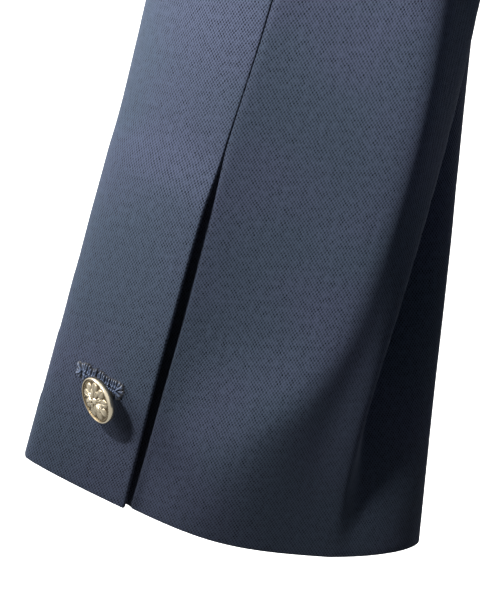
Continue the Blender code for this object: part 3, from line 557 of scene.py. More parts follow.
def sleeve_ring(degrees, above_hem, lift=0.0):
    """Point of the sleeve below the biceps at ring angles and heights above the hem."""
    degrees, above_hem = np.broadcast_arrays(
        np.asarray(degrees, float), np.asarray(above_hem, float)
    )
    centre, down, outer, rear = sleeve_axis(above_hem)
    slant = from_table(SLEEVE, SLEEVE_COLUMNS, "slant", above_hem)[..., None]
    outer = outer - slant * down
    out, back, face_out, face_rear = ring_profile(degrees, above_hem)
    back, bulge_share = panel_back(degrees, above_hem, out, back)
    shorter = HEM_RISE * bulge_share * smoothstep(1 - above_hem / HEM_RISE_FADE)
    raised = fold_height(degrees, above_hem) + lift
    return (
        centre
        + (out + face_out * raised)[..., None] * outer
        + (back + face_rear * raised)[..., None] * rear
        - shorter[..., None] * down
    )


def degrees_along(degrees, above_hem, distance):
    """Ring angle that lies a distance further round the ring, measured on its surface."""
    steps = np.linspace(0, 60, 601)
    ahead = np.asarray(degrees)[..., None] + steps * np.sign(distance)
    out, back, _, _ = ring_profile(ahead, np.asarray(above_hem, float)[..., None])
    run = np.hypot(np.diff(out, axis=-1), np.diff(back, axis=-1)).cumsum(-1)
    share = (run < abs(distance)).sum(-1)
    return np.asarray(degrees) + share * steps[1] * np.sign(distance)


# How a sleeve column leaves the armhole and how strongly it arrives at the biceps, first
# under the arm and then at the sleeve's head
CAP_LEAVES = np.array([[0.25, 0.0, -0.95], [0.72, 0.0, 0.06]])
CAP_ARRIVES = (0.9, 1.15)


def sleeve_cap(ring_degrees, armhole, share):
    """Columns, each a cubic, that leave the armhole sideways and turn down into the biceps."""
    end = sleeve_ring(ring_degrees, BICEPS)
    down = sleeve_axis(np.array(BICEPS, float))[1]
    reach = np.linalg.norm(end - armhole, axis=1, keepdims=True)
    head = (1 + np.cos(np.radians(ring_degrees)))[:, None] / 2
    leave = lerp(*CAP_LEAVES, head) * reach
    arrive = down * reach * lerp(*CAP_ARRIVES, head)
    return cubic(np.asarray(share, float)[:, None, None], armhole, leave, end, arrive)


def sleeve_seam(name, above_hem):
    return from_table(SLEEVE_SEAMS, SEAM_COLUMNS, name, above_hem)


def vent_lift(past_edge, above_hem):
    """How far the top sleeve lies out over the underlap, by degrees from the vent's edge."""
    open_share = smoothstep((VENT_LENGTH - above_hem) / VENT_RAMP)
    lap = (CLOTH + VENT_GAP) * smoothstep((LAP_ENDS - past_edge) / LAP_FADE)
    gape = VENT_STANDS_OFF * np.sin(np.pi * np.clip(above_hem / VENT_LENGTH, 0, 1)) ** 1.5
    return open_share * (lap + gape * np.exp(-((past_edge / STANDS_OFF_WIDTH) ** 2)))


def underlap_dip(past_edge, above_hem):
    """How deep the under sleeve lies by the vent, by degrees past the vent's edge.

    It is deepest under the edge, comes back up steeply beyond it, and slowly along the lap.
    """
    depth, width = (from_table(DIP, DIP_COLUMNS, name, above_hem) for name in DIP_COLUMNS[1:])
    beyond = past_edge * RING_MM_PER_DEGREE
    rises = smoothstep((beyond - width) / DIP_RISE)
    return depth * (1 - rises) * smoothstep((beyond + DIP_LAP_END) / DIP_LAP_FADE)


def armhole_loop(part, share):
    """Armhole points for the top or under sleeve, moved out by the seam's gap.

    The top sleeve goes up the back (first half) and down the front (second half).
    """
    if part == "under":
        angle = lerp(SIDE_FRONT_ANGLE, SIDE_BACK_ANGLE, share)
        loop = torso_point(angle, underarm_z(1 - share))
    else:
        down_front = np.interp(2 * share - 1, (0, 0.25, 1), (1, ROLL_TOP_SHARE, 0))
        back = armhole_back(np.clip(2 * share, 0, 1))
        loop = np.where(share[:, None] < 0.5, back, armhole_front(down_front))
    return loop + (ARMHOLE_GAP, 0, 0)


def arm_rows():
    """Heights above the hem from the biceps down, with rows at the top of the vent."""
    above = np.arange(BICEPS, VENT_LENGTH, -ARM_STEP)
    return np.concatenate([above, np.linspace(VENT_LENGTH, 0, VENT_ROWS + 1)])


def sleeve_grid(part):
    """Left top or under sleeve, with rows from hem to armhole and columns that face out."""
    heights = arm_rows()
    front = sleeve_seam("front_seam", heights)[:, None]
    back = sleeve_seam("back_seam", heights)[:, None]
    share = np.linspace(0, 1, (TOP_COLUMNS if part == "top" else UNDER_COLUMNS) + 1)
    if part == "under":
        share = share + UNDER_CROWD * share * (1 - share)
    armhole = armhole_loop(part, share)
    if part == "top":
        degrees = lerp(back, front, share)
        lift = vent_lift(degrees - back, heights[:, None])
    else:
        degrees = lerp(front, back + 360, share)
        lift = -underlap_dip(back + 360 - degrees, heights[:, None])
    arm = sleeve_ring(degrees, heights[:, None], lift)
    cap = sleeve_cap(degrees[0], armhole, np.linspace(0, 1, CAP_ROWS + 1)[:-1])
    grid = np.concatenate([cap, arm])
    present = np.ones((grid.shape[0] - 1, grid.shape[1] - 1), bool)
    if part == "under":
        steps = np.linspace(0, 1, UNDERLAP_COLUMNS + 1)[1:]
        lap_end = degrees_along(back[:, 0], heights, UNDERLAP)[:, None]
        lap = lerp(back, lap_end, steps)
        lap = sleeve_ring(lap + 360, heights[:, None], -underlap_dip(back - lap, heights[:, None]))
        last_step = cap[:, -1:] - cap[:, -2:-1]
        above = cap[:, -1:] + last_step * np.arange(1, UNDERLAP_COLUMNS + 1)[:, None]
        grid = np.concatenate([grid, np.concatenate([above, lap])], axis=1)
        vent = np.concatenate([np.zeros(CAP_ROWS, bool), heights[:-1] <= VENT_LENGTH + 0.01])
        lap_present = np.repeat(vent[:, None], UNDERLAP_COLUMNS, axis=1)
        present = np.concatenate([present, lap_present], axis=1)
    return grid[::-1, ::-1], present[::-1, ::-1]


def sleeve_normals(top, under):
    """Normals of the two sleeve pieces, the same at both seams above the vent."""
    to_top, to_under = grid_normals(top), grid_normals(under)
    lap = UNDERLAP_COLUMNS
    sewn = slice(int((arm_rows() <= VENT_LENGTH + 0.01).sum()), None)
    front = unit(to_top[:, 0] + to_under[:, -1])
    back = unit(to_top[:, -1] + to_under[:, lap])
    to_top[:, 0] = to_under[:, -1] = front
    to_top[sewn, -1] = to_under[sewn, lap] = back[sewn]
    return to_top, to_under


# ---------------------------------------------------------------- lapels and collar


def seen_from_front(grid, x, z):
    """Point and outward normal of a panel where a level line from ahead meets it.

    The six panel points nearest to the line, seen from ahead, each give the depth of their
    tangent plane there. The mean of these is weighted by the inverse square of the distance.
    """
    x, z = np.broadcast_arrays(np.asarray(x, float), np.asarray(z, float))
    points = grid.reshape(-1, 3)
    normals = grid_normals(grid).reshape(-1, 3)
    query = np.stack([x.ravel(), z.ravel()], 1)
    away = ((query[:, None] - points[None, :, [0, 2]]) ** 2).sum(-1)
    near = np.argsort(away, axis=1)[:, :6]
    weight = 1 / (np.take_along_axis(away, near, 1) + 0.05)
    weight /= weight.sum(1, keepdims=True)
    at, face = points[near], normals[near]
    offset = query[:, None] - at[..., [0, 2]]
    rise = (offset * face[..., [0, 2]]).sum(-1) / np.minimum(face[..., 1], -0.05)
    y = ((at[..., 1] - rise) * weight).sum(1)
    normal = unit((face * weight[..., None]).sum(1))
    point = np.stack([query[:, 0], y, query[:, 1]], 1)
    return point.reshape(*x.shape, 3), normal.reshape(*x.shape, 3)


def gorge(share):
    """Lapel's top edge seen from ahead, from the roll line (0) to the tip (1)."""
    share = np.asarray(share, float)[..., None]
    return lerp(np.array([ROLL_TOP_X, ROLL_TOP_Z]), np.array(LAPEL_TIP), share)


def lapel_grid(grid):
    """Lapel on a left front: rows from the break to the gorge, columns from the roll line."""
    t = np.linspace(0, 1, LAPEL_ROWS + 1)[:, None]
    start = np.array([front_edge_x(np.array(LAPEL_START_Z)), LAPEL_START_Z])
    outer_start = start + (LAPEL_START_WIDTH, 0)
    outer_line = np.array(LAPEL_TIP) - outer_start
    square = np.array([-outer_line[1], outer_line[0]]) / np.linalg.norm(outer_line)
    inner = lerp(start, gorge(0.0), t)
    outer = outer_start + outer_line * t - square * LAPEL_BELLY * np.sin(math.pi * t)

    roll_line = grid[:, 0]
    edge = along_line(inner[:, 1], roll_line[:, 2], roll_line)
    ahead = along_line(inner[:, 1] + 5, roll_line[:, 2], roll_line)
    _, off = seen_from_front(grid, edge[:, 0] + 2, inner[:, 1])
    past = unit(np.cross(off, ahead - edge))
    past *= np.sign(-past[:, :1])
    turned = [edge + past * out + off * up for out, up in LAPEL_EDGE]
    faces = [past * out + off * up for out, up in LAPEL_EDGE_FACES]

    width = np.linalg.norm(outer - inner, axis=1)[:, None]
    s = lerp(np.minimum(0.3, 3.0 / width), 1.0, np.linspace(0, 1, LAPEL_COLUMNS + 1))
    flat = inner[:, None] + (outer - inner)[:, None] * s[..., None]
    point, normal = seen_from_front(grid, flat[..., 0], flat[..., 1])
    roll = LAPEL_ROLL * smoothstep((t - 0.2) / 0.4)
    stands = roll * np.sin(math.pi * np.minimum(1.0, s * width / 40)) ** 2
    clear = CLOTH + LAID_ON_GAP + LAPEL_UPPER_GAP * smoothstep(t / 0.4)
    point = point + normal * (clear + stands)[..., None]
    points = np.concatenate([np.stack(turned, 1), point], axis=1)
    normals = np.concatenate([np.stack(faces, 1), normal], axis=1)
    return points, unit(normals)


def neck_seam(front, back):
    """Neckline from centre back over the shoulder to the top of the roll line, and shares."""
    back_edge = back[BODY_ROWS + BACK_CENTRE_ROWS :, -1]
    front_edge = front[BODY_ROWS + YOKE_ROWS :, 0][::-1]
    line = np.vstack([back_edge, front_edge[1:]])
    along = np.concatenate([[0], np.linalg.norm(np.diff(line, axis=0), axis=1).cumsum()])
    shares = np.linspace(0, 1, COLLAR_ROWS + 1)
    points = along_line(shares * along[-1], along, line)
    points[-1] += unit(points[-2] - points[-1]) * 2 * SEAM_GAP
    return points, shares


def pressed(body, points, share):
    """Moves points to lie on the body, fully at share 1, and never nearer than allowed.

    body gives points and their normals. A point's height is measured off the nearest of
    them, along its normal.
    """
    at, normals = body
    flat = points.reshape(-1, 3)
    away = ((flat[:, None] - at[None]) ** 2).sum(-1)
    near = away.argmin(1)
    normal = normals[near]
    height = ((flat - at[near]) * normal).sum(1)
    share = np.broadcast_to(share, points.shape[:-1]).ravel()
    wanted = np.maximum(COLLAR_CLEAR, lerp(height, COLLAR_CLEAR, share))
    return (flat + normal * (wanted - height)[:, None]).reshape(points.shape)


def collar_half(front, back):
    """Left half of the collar: rows from centre back to the gorge, columns up and over."""
    seams, shares = neck_seam(front, back)
    stand, tilt, fall_x, fall_y, fall_z = (
        from_table(COLLAR, COLLAR_COLUMNS, name, shares) for name in COLLAR_COLUMNS[1:]
    )
    fall = np.stack([fall_x, fall_y, fall_z], 1)
    share = shares[:, None]
    upright = np.concatenate([0 * share, -COLLAR_LEAN * (1 - share), 1 + 0 * share], 1)
    _, off = seen_from_front(front, np.maximum(seams[:, 0] + 2, 62), np.minimum(seams[:, 2], -6))
    along = unit(np.gradient(seams, axis=0))
    up = lerp(upright, off, tilt[:, None])
    up = unit(up - along * (up * along).sum(1, keepdims=True))
    out = np.cross(up, along)
    radius = lerp(COLLAR_ROLL_RADIUS, COLLAR_END_RADIUS, smoothstep((share - 0.5) / 0.5))
    end = smoothstep((share - COLLAR_END_FROM) / (1 - COLLAR_END_FROM))
    base = seams - out * lerp(CLOTH, 2.2, end) + up * lerp(0.5, -1.0, end)
    middle = seams + up * np.maximum(stand[:, None] - radius, 0.0) - out * lerp(-1.5, 0.0, end)
    drop = fall - middle
    lean = np.arctan2(-(drop * up).sum(1), (drop * out).sum(1))
    turn = np.linspace(0, 1, ROLL_COLUMNS + 1) * (math.pi / 2 + np.maximum(lean, 0))[:, None]
    turn = turn[..., None]
    arc = middle[:, None] + radius[..., None] * (
        np.sin(turn) * up[:, None] - np.cos(turn) * out[:, None]
    )
    rising = [lerp(base, arc[:, 0], k) for k in (0.0, 0.25, 0.5, 0.75)]

    q = np.linspace(0, 1, FALL_COLUMNS + 1)[1:]
    body = [
        np.concatenate([part.reshape(-1, 3)[::3] for part in parts])
        for parts in ((front, back), (grid_normals(front), grid_normals(back)))
    ]
    line = arc[:, -1][:, None] + (fall - arc[:, -1])[:, None] * q[:, None]
    line = pressed(body, line, smoothstep((q - 0.3) / 0.5))
    corner = gorge(NOTCH_SHARE)
    tip = np.array([COLLAR[-1][3], COLLAR[-1][5]])
    seam_end = lerp(gorge(0.0), corner, (q / COLLAR_SEAM_SHARE)[:, None]) + GORGE_OFFSET
    point_share = ((q - COLLAR_SEAM_SHARE) / (1 - COLLAR_SEAM_SHARE))[:, None]
    point_end = lerp(corner + GORGE_OFFSET, tip, point_share)
    flat = np.where(q[:, None] <= COLLAR_SEAM_SHARE, seam_end, point_end)
    at, normal = seen_from_front(front, flat[:, 0], flat[:, 1])
    at = at + normal * COLLAR_CLEAR
    kink = smoothstep((share - COLLAR_KINK_FROM) / (1 - COLLAR_KINK_FROM))[..., None]
    line = np.where(kink > 0, pressed(body, lerp(line, at, kink), 0.0), line)
    return np.concatenate([np.stack(rising, 1), arc, line], axis=1)


# ---------------------------------------------------------------- meshes


def retract(grid, edges):
    """Pulls the named edges of a grid in by half of what stays open at a shut seam."""
    grid = grid.copy()
    for edge in edges:
        outer, inner = {
            "left": (grid[:, 0], grid[:, 1]),
            "right": (grid[:, -1], grid[:, -2]),
            "top": (grid[-1], grid[-2]),
        }[edge]
        step = inner - outer
        length = np.maximum(np.linalg.norm(step, axis=1, keepdims=True), 1e-9)
        outer += step / length * np.minimum(SEAM_SHUT / 2, length / 2)
    return grid


def weave_map(grid, grain):
    """Where each point lies on the flat cloth, in metres: across and along the grain.

    Each row is laid out from its middle column. A step along it is split into its part
    along the grain, which adds to the height, and the rest, which adds to the width.
    With no grain given, it follows the grid's own columns.
    """
    normal = grid_normals(grid)
    if grain is None:
        grain = unit(np.gradient(grid, axis=0))
    along = unit(grain - normal * (normal * grain).sum(-1, keepdims=True))
    middle = grid.shape[1] // 2
    step = np.diff(grid, axis=1)
    half = unit(along[:, 1:] + along[:, :-1])
    rise = (step * half).sum(-1)
    run = np.sqrt(np.maximum((step**2).sum(-1) - rise**2, 0))
    spine = np.diff(grid[:, middle], axis=0)
    height = np.concatenate([[0], (spine * along[1:, middle]).sum(-1).cumsum()])
    layout = []
    for part in (run, rise):
        total = np.concatenate([np.zeros((len(grid), 1)), part.cumsum(1)], axis=1)
        layout.append(total - total[:, middle : middle + 1])
    return np.stack([layout[0], layout[1] + height[:, None]], -1) * MM


def mesh_object(name, points, faces, layout, material):
    """An object at the origin from points in millimetres and faces of three or four corners.

    A triangle's fourth corner is -1. layout, if any, gives each point's place on flat cloth.
    """
    sides = (faces >= 0).sum(1)
    used, faces = np.unique(faces[faces >= 0], return_inverse=True)
    data = bpy.data.meshes.new(name)
    data.vertices.add(len(used))
    data.vertices.foreach_set("co", (points[used] * MM).astype(np.float32).ravel())
    data.loops.add(faces.size)
    data.loops.foreach_set("vertex_index", faces.astype(np.int32).ravel())
    data.polygons.add(len(sides))
    starts = np.concatenate([[0], sides.cumsum()[:-1]]).astype(np.int32)
    data.polygons.foreach_set("loop_start", starts)
    data.polygons.foreach_set("use_smooth", np.ones(len(sides), bool))
    if layout is not None:
        data.uv_layers.new(name="cloth")
        corners = layout[used][faces.ravel()].astype(np.float32)
        data.uv_layers["cloth"].uv.foreach_set("vector", corners.ravel())
    data.update(calc_edges=True)
    data.validate()
    data.materials.append(material)
    piece = bpy.data.objects.new(name, data)
    bpy.context.scene.collection.objects.link(piece)
    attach(piece, "root")
    return piece


def give_relief(piece, values):
    """Stores with each point how far it stands out or is worn, for the material to read.

    The metal shows its wear by it; the thread paints shade and highlight from it.
    """
    layer = piece.data.attributes.new("relief", "FLOAT", "POINT")
    layer.data.foreach_set("value", values.astype(np.float32))


def shell_faces(rows, columns, present):
    """Quads of a thin closed wall: outer grid, inner grid turned over, and the rim.

    Outer points are numbered row by row, and inner ones follow in the same order. Each
    edge of a present cell whose neighbour across it is absent gets one quad of the rim.
    """
    index = np.arange(rows * columns).reshape(rows, columns)
    a, b, c, d = index[:-1, :-1], index[:-1, 1:], index[1:, 1:], index[1:, :-1]
    inner = rows * columns
    faces = [np.stack([a, b, c, d], -1)[present], np.stack([d, c, b, a], -1)[present] + inner]
    padded = np.pad(present, 1)
    for (first, second), (di, dj) in (
        ((a, b), (-1, 0)),
        ((b, c), (0, 1)),
        ((c, d), (1, 0)),
        ((d, a), (0, -1)),
    ):
        beside = padded[1 + di : 1 + di + rows - 1, 1 + dj : 1 + dj + columns - 1]
        rim = present & ~beside
        first, second = first[rim], second[rim]
        faces.append(np.stack([second, first, first + inner, second + inner], -1))
    return np.concatenate(faces)


EDGE_ROUND = 0.45  # radius of a pressed edge
EDGE_TURN = math.radians(50)  # what turns more than this is an edge
EDGE_STEPS = 3


def cut_size(grid, layout, present):
    """Width and length of the piece's flat cut and its area, in metres."""
    kept = np.zeros(grid.shape[:2], bool)
    kept[:-1, :-1] |= present
    kept[1:, 1:] |= present
    width, length = np.ptp(layout[kept], axis=0)
    across, down = grid[1:, 1:] - grid[:-1, :-1], grid[:-1, 1:] - grid[1:, :-1]
    area = np.linalg.norm(np.cross(across, down), axis=-1)[present].sum() / 2 * MM**2
    return (float(width), float(length)), float(min(area, width * length))


def cloth_shell(
    name, grid, thickness, material, grain, seams=(), present=None, normals=None
):
    """Thin wall of cloth: the grid outside, a copy moved in by the thickness, and the rim."""
    rows, columns = grid.shape[:2]
    if present is None:
        present = np.ones((rows - 1, columns - 1), bool)
    if normals is None:
        normals = grid_normals(grid)
    layout = weave_map(grid, grain)
    flat, area = cut_size(grid, layout, present)
    layout = layout.reshape(-1, 2)
    grid = retract(grid, seams)
    inner = retract(grid - normals * thickness, seams)
    points = np.concatenate([grid.reshape(-1, 3), inner.reshape(-1, 3)])
    faces = shell_faces(rows, columns, present)
    piece = mesh_object(
        name, points, faces, np.concatenate([layout, layout]), material
    )
    edge = piece.modifiers.new("pressed_edge", "BEVEL")
    edge.limit_method = "ANGLE"
    edge.angle_limit = EDGE_TURN
    edge.width = EDGE_ROUND * MM
    edge.use_clamp_overlap = False
    edge.segments = EDGE_STEPS
    return piece


# ---------------------------------------------------------------- materials


def linear(hex_colour):
    """Linear colour of an sRGB hex value."""
    values = np.array([int(hex_colour[k : k + 2], 16) for k in (1, 3, 5)]) / 255
    low, high = values / 12.92, ((values + 0.055) / 1.055) ** 2.4
    return (*np.where(values <= 0.04045, low, high), 1.0)


def add_node(tree, kind, settings=None, inputs=None):
    """Adds a node with its settings, and its inputs as values or links from other sockets."""
    node = tree.nodes.new("ShaderNode" + kind)
    for key, value in (settings or {}).items():
        setattr(node, key, value)
    for key, value in (inputs or {}).items():
        if isinstance(value, bpy.types.NodeSocket):
            tree.links.new(value, node.inputs[key])
        else:
            node.inputs[key].default_value = value
    return node


def new_material(name):
    material = bpy.data.materials.new(name)
    material.use_nodes = True
    tree = material.node_tree
    return material, tree, tree.nodes["Principled BSDF"]


WEAVE_ACROSS, WEAVE_ALONG = 1.0, 1.5  # holes along a row; every second row lines up
YARN_WANDER = 0.7
# How often in a millimetre of cloth each unevenness comes back
WANDERS, OPENNESS_CHANGES, DYE_CHANGES = 0.35, 0.55, 0.02
WARP_SHADES, WEFT_SHADES = (2.0, 0.03, 1.0), (0.03, 1.4, 1.0)


def navy_wool():
    """Worsted wool in a small pin-hole weave, dyed as yarn and pressed.

    It is matt. Each thread crown catches light, and each gap between four threads is painted
    near black: painted shade in the gap. Fibre ends give a slight milky bloom at glancing
    angles. A hole is where the product of two cosines, one across the cloth and one along
    it, is high.
    """
    material, tree, shader = new_material("worsted_navy_wool")
    cloth = add_node(tree, "UVMap", {"uv_map": "cloth"}).outputs[0]
    flat = add_node(tree, "VectorMath", {"operation": "SCALE"}, {0: cloth, "Scale": 1 / MM})
    flat = flat.outputs[0]
    wander = add_node(tree, "TexNoise", {}, {"Vector": flat, "Scale": WANDERS, "Detail": 3.0})
    place = add_node(
        tree, "VectorMath", {"operation": "MULTIPLY_ADD"},
        {0: wander.outputs["Color"], 1: (YARN_WANDER, YARN_WANDER, 0.0), 2: flat},
    )
    parts = add_node(tree, "SeparateXYZ", {}, {0: place.outputs[0]}).outputs
    waves = []
    for part, spacing in zip(parts, (WEAVE_ACROSS, WEAVE_ALONG)):
        angle = add_node(
            tree, "Math", {"operation": "MULTIPLY"}, {0: part, 1: math.tau / spacing}
        )
        waves.append(add_node(tree, "Math", {"operation": "COSINE"}, {0: angle.outputs[0]}))
    weave = add_node(
        tree, "Math", {"operation": "MULTIPLY"}, {k: waves[k].outputs[0] for k in range(2)}
    )
    hole = add_node(
        tree, "MapRange", {"interpolation_type": "SMOOTHSTEP"},
        {0: weave.outputs[0], 1: -0.3, 2: 0.55},
    )

    # No two holes are equally open
    uneven = add_node(
        tree, "TexNoise", {}, {"Vector": flat, "Scale": OPENNESS_CHANGES, "Detail": 3.0}
    )
    openness = add_node(
        tree, "MapRange", {}, {0: uneven.outputs[0], 1: 0.3, 2: 0.7, 3: 0.3, 4: 1.0}
    )
    hole = add_node(
        tree, "Math", {"operation": "MULTIPLY"}, {0: hole.outputs[0], 1: openness.outputs[0]}
    ).outputs[0]

    # Yarns differ a little in shade: stripes one thread wide and some centimetres long
    shades = []
    for changes in (WARP_SHADES, WEFT_SHADES):
        along = add_node(tree, "Mapping", {}, {"Vector": flat, "Scale": changes}).outputs[0]
        shades.append(
            add_node(tree, "TexNoise", {}, {"Vector": along, "Scale": 1.0, "Detail": 1.0})
        )
    yarn = add_node(
        tree, "Math", {"operation": "ADD"}, {k: shades[k].outputs[0] for k in range(2)}
    )
    cloud = add_node(tree, "TexNoise", {}, {"Vector": flat, "Scale": DYE_CHANGES}).outputs[0]
    clouded = add_node(tree, "Math", {"operation": "MULTIPLY_ADD"}, {0: cloud, 1: 0.3, 2: 0.63})
    lightness = add_node(
        tree, "Math", {"operation": "MULTIPLY_ADD"},
        {0: yarn.outputs[0], 1: 0.22, 2: clouded.outputs[0]},
    ).outputs[0]

    # The dye drifts between a greener and a more violet navy over some centimetres
    dye = add_node(
        tree, "MapRange", {"interpolation_type": "SMOOTHSTEP"}, {0: cloud, 1: 0.38, 2: 0.62}
    )
    crown = add_node(
        tree, "Mix", {"data_type": "RGBA"},
        {0: dye.outputs[0], 6: linear("#3f4958"), 7: linear("#42485a")},
    )
    # Holes painted near black: painted shade in the gaps between the threads
    shaded_weave = add_node(
        tree, "Mix", {"data_type": "RGBA"}, {0: hole, 6: crown.outputs[2], 7: linear("#04060b")}
    )
    grey = add_node(tree, "CombineColor", {}, {k: lightness for k in range(3)})
    colour = add_node(
        tree, "Mix", {"data_type": "RGBA", "blend_type": "MULTIPLY"},
        {0: 1.0, 6: shaded_weave.outputs[2], 7: grey.outputs[0]},
    )
    tree.links.new(colour.outputs[2], shader.inputs["Base Color"])

    # Holes lie a little below the thread crowns
    bump = add_node(
        tree, "Bump", {"invert": True}, {"Strength": 0.7, "Distance": 0.18 * MM, "Height": hole}
    )
    tree.links.new(bump.outputs[0], shader.inputs["Normal"])
    shader.inputs["Roughness"].default_value = 0.8
    shader.inputs["Specular IOR Level"].default_value = 0.08
    shader.inputs["Sheen Weight"].default_value = 0.16
    shader.inputs["Sheen Roughness"].default_value = 0.5
    shader.inputs["Sheen Tint"].default_value = linear("#aab4c8")
    return material


def antique_silver():
    """Cast zinc plated with a warm silver: worn bright where it stands out, tarnish between."""
    material, tree, shader = new_material("plated_cast_metal")
    relief = add_node(tree, "Attribute", {"attribute_name": "relief"}).outputs["Fac"]
    colour = add_node(
        tree, "Mix", {"data_type": "RGBA"},
        {0: relief, 6: linear("#625642"), 7: linear("#cfc4ac")},
    )
    tree.links.new(colour.outputs[2], shader.inputs["Base Color"])
    rough = add_node(tree, "MapRange", {}, {0: relief, "To Min": 0.42, "To Max": 0.2})
    tree.links.new(rough.outputs[0], shader.inputs["Roughness"])
    shader.inputs["Metallic"].default_value = 1.0
    return material


def silk_twist():
    """Buttonhole thread: navy silk, a little bluer and glossier than the wool around it.

    Its colour is painted from how far the thread stands out: painted shade where it lies
    low between the stitches, and painted highlight on their tops and knots.
    """
    material, tree, shader = new_material("navy_silk_twist")
    proud = add_node(tree, "Attribute", {"attribute_name": "relief"}).outputs["Fac"]
    # Painted shade where the thread lies low, painted highlight where it stands out
    lit = add_node(
        tree, "MapRange", {"interpolation_type": "SMOOTHSTEP"}, {0: proud, 1: 0.45, 2: 1.25}
    )
    colour = add_node(
        tree, "Mix", {"data_type": "RGBA"},
        {0: lit.outputs[0], 6: linear("#080c17"), 7: linear("#5a6883")},
    )
    tree.links.new(colour.outputs[2], shader.inputs["Base Color"])
    shader.inputs["Roughness"].default_value = 0.42
    shader.inputs["Sheen Weight"].default_value = 0.2
    return material


def studio_paper():
    """Seamless studio paper: even, matt and pale."""
    material, tree, shader = new_material("matt_studio_paper")
    place = add_node(tree, "TexCoord").outputs["Object"]
    fibre = add_node(tree, "TexNoise", {}, {"Vector": place, "Scale": 40.0})
    shade = add_node(
        tree, "MapRange", {}, {0: fibre.outputs[0], "To Min": 0.86, "To Max": 0.9}
    )
    grey = add_node(tree, "CombineColor", {}, {k: shade.outputs[0] for k in range(3)})
    tree.links.new(grey.outputs[0], shader.inputs["Base Color"])
    shader.inputs["Roughness"].default_value = 0.95
    shader.inputs["Specular IOR Level"].default_value = 0.1
    shader.inputs["Emission Color"].default_value = (1.0, 1.0, 1.0, 1.0)
    shader.inputs["Emission Strength"].default_value = 0.6
    return material


# ---------------------------------------------------------------- pieces

UPRIGHT = np.array([0.0, 0.0, 1.0])


def pair(name, panels, thickness, material, seams, present=None):
    """Makes a left panel and its fellow for the right, each in place of its solid.

    panels gives each side's grid and normals, both shaped as for the left.
    """
    swap = {"left": "right", "right": "left", "top": "top"}
    for side, (grid, facing) in panels.items():
        edges, there = seams, present
        if side == "right":
            grid, facing = mirrored(grid), mirrored(facing)
            edges = tuple(swap[edge] for edge in seams)
            there = None if present is None else present[:, ::-1]
        piece = cloth_shell(
            f"cloth_{name}_{side}", grid, thickness, material, UPRIGHT, edges, there, facing
        )
        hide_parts(f"{name}_{side}")


def wrapped_faces(rows, columns, poles):
    """Quads of a grid whose last column meets its first.

    With poles the first and last rows are single points joined by triangles to the next
    row; without, the last row meets the first.
    """
    here = np.arange(columns)
    there = np.roll(here, -1)
    if not poles:
        row = np.arange(rows)[:, None] * columns
        after = np.roll(row, -1, axis=0)
        return np.stack([row + here, row + there, after + there, after + here], -1).reshape(-1, 4)
    row = 1 + np.arange(rows - 3)[:, None] * columns
    quads = np.stack([row + here, row + there, row + columns + there, row + columns + here], -1)
    last, end, none = 1 + (rows - 3) * columns, 1 + (rows - 2) * columns, 0 * here - 1
    first_fan = np.stack([0 * here, there + 1, here + 1, none], -1)
    last_fan = np.stack([last + here, last + there, 0 * here + end, none], -1)
    return np.concatenate([first_fan, quads.reshape(-1, 4), last_fan])


LEAVES, BEADS = 9, 40
# Shares of the face's radius
OUTER_LEAVES, INNER_LEAVES = (0.38, 0.83), (0.14, 0.54)
BOSS, BEADS_AT, BEAD_WIDTH = 0.16, 0.855, 0.025


def rosette(share, angle):
    """Relief of the face at a share of its radius: two rings of leaves round a boss, 0 to 1.

    A leaf is a half wave across its angle, to a power that makes it narrow at both ends,
    with a vein down its middle; beads run round outside the leaves.
    """
    def leaves(turn, inner, outer):
        t = np.clip((share - inner) / (outer - inner), 0, 1)
        across = (angle * LEAVES / math.tau + turn) % 1 - 0.5
        width = 0.46 * np.sin(np.pi * t) ** 0.6 + 1e-3
        body = np.sqrt(np.clip(1 - (across / width) ** 2, 0, 1)) * np.sin(np.pi * t) ** 0.4
        return body * (1 - 0.45 * np.exp(-((across / 0.06) ** 2)))

    outer = leaves(0.0, *OUTER_LEAVES)
    inner = leaves(0.5, *INNER_LEAVES)
    boss = np.sqrt(np.clip(1 - (share / BOSS) ** 2, 0, 1))
    ring = np.exp(-(((share - BEADS_AT) / BEAD_WIDTH) ** 2))
    beads = np.clip(np.cos(angle * BEADS), 0, 1) * ring
    raised = np.broadcast_arrays(0.75 * outer, 0.9 * inner, boss, 0.4 * beads)
    return np.maximum.reduce(raised)


# Button from foot to groove: shank, back, side wall and rim, out and up as shares of its radius
BUTTON_FORM = (
    (0.00, 0.00), (0.17, 0.00), (0.20, 0.03), (0.20, 0.36), (0.23, 0.41), (0.60, 0.43),
    (0.84, 0.45), (0.93, 0.48), (0.985, 0.53), (1.00, 0.59), (1.00, 0.66), (0.988, 0.72),
    (0.965, 0.76), (0.94, 0.77), (0.92, 0.755), (0.905, 0.72), (0.895, 0.70),
)
FACE_EDGE, FACE_LOW, FACE_DOME, RELIEF = 0.88, 0.70, 0.07, 0.115
BUTTON_SIDES, FACE_RINGS = 240, 84
GROOVE_ROWS = 3  # of the form's last rows
CUFF_FACING = (0.562, 0.804, -0.194)  # of the left cuff's button, tipped on its shank


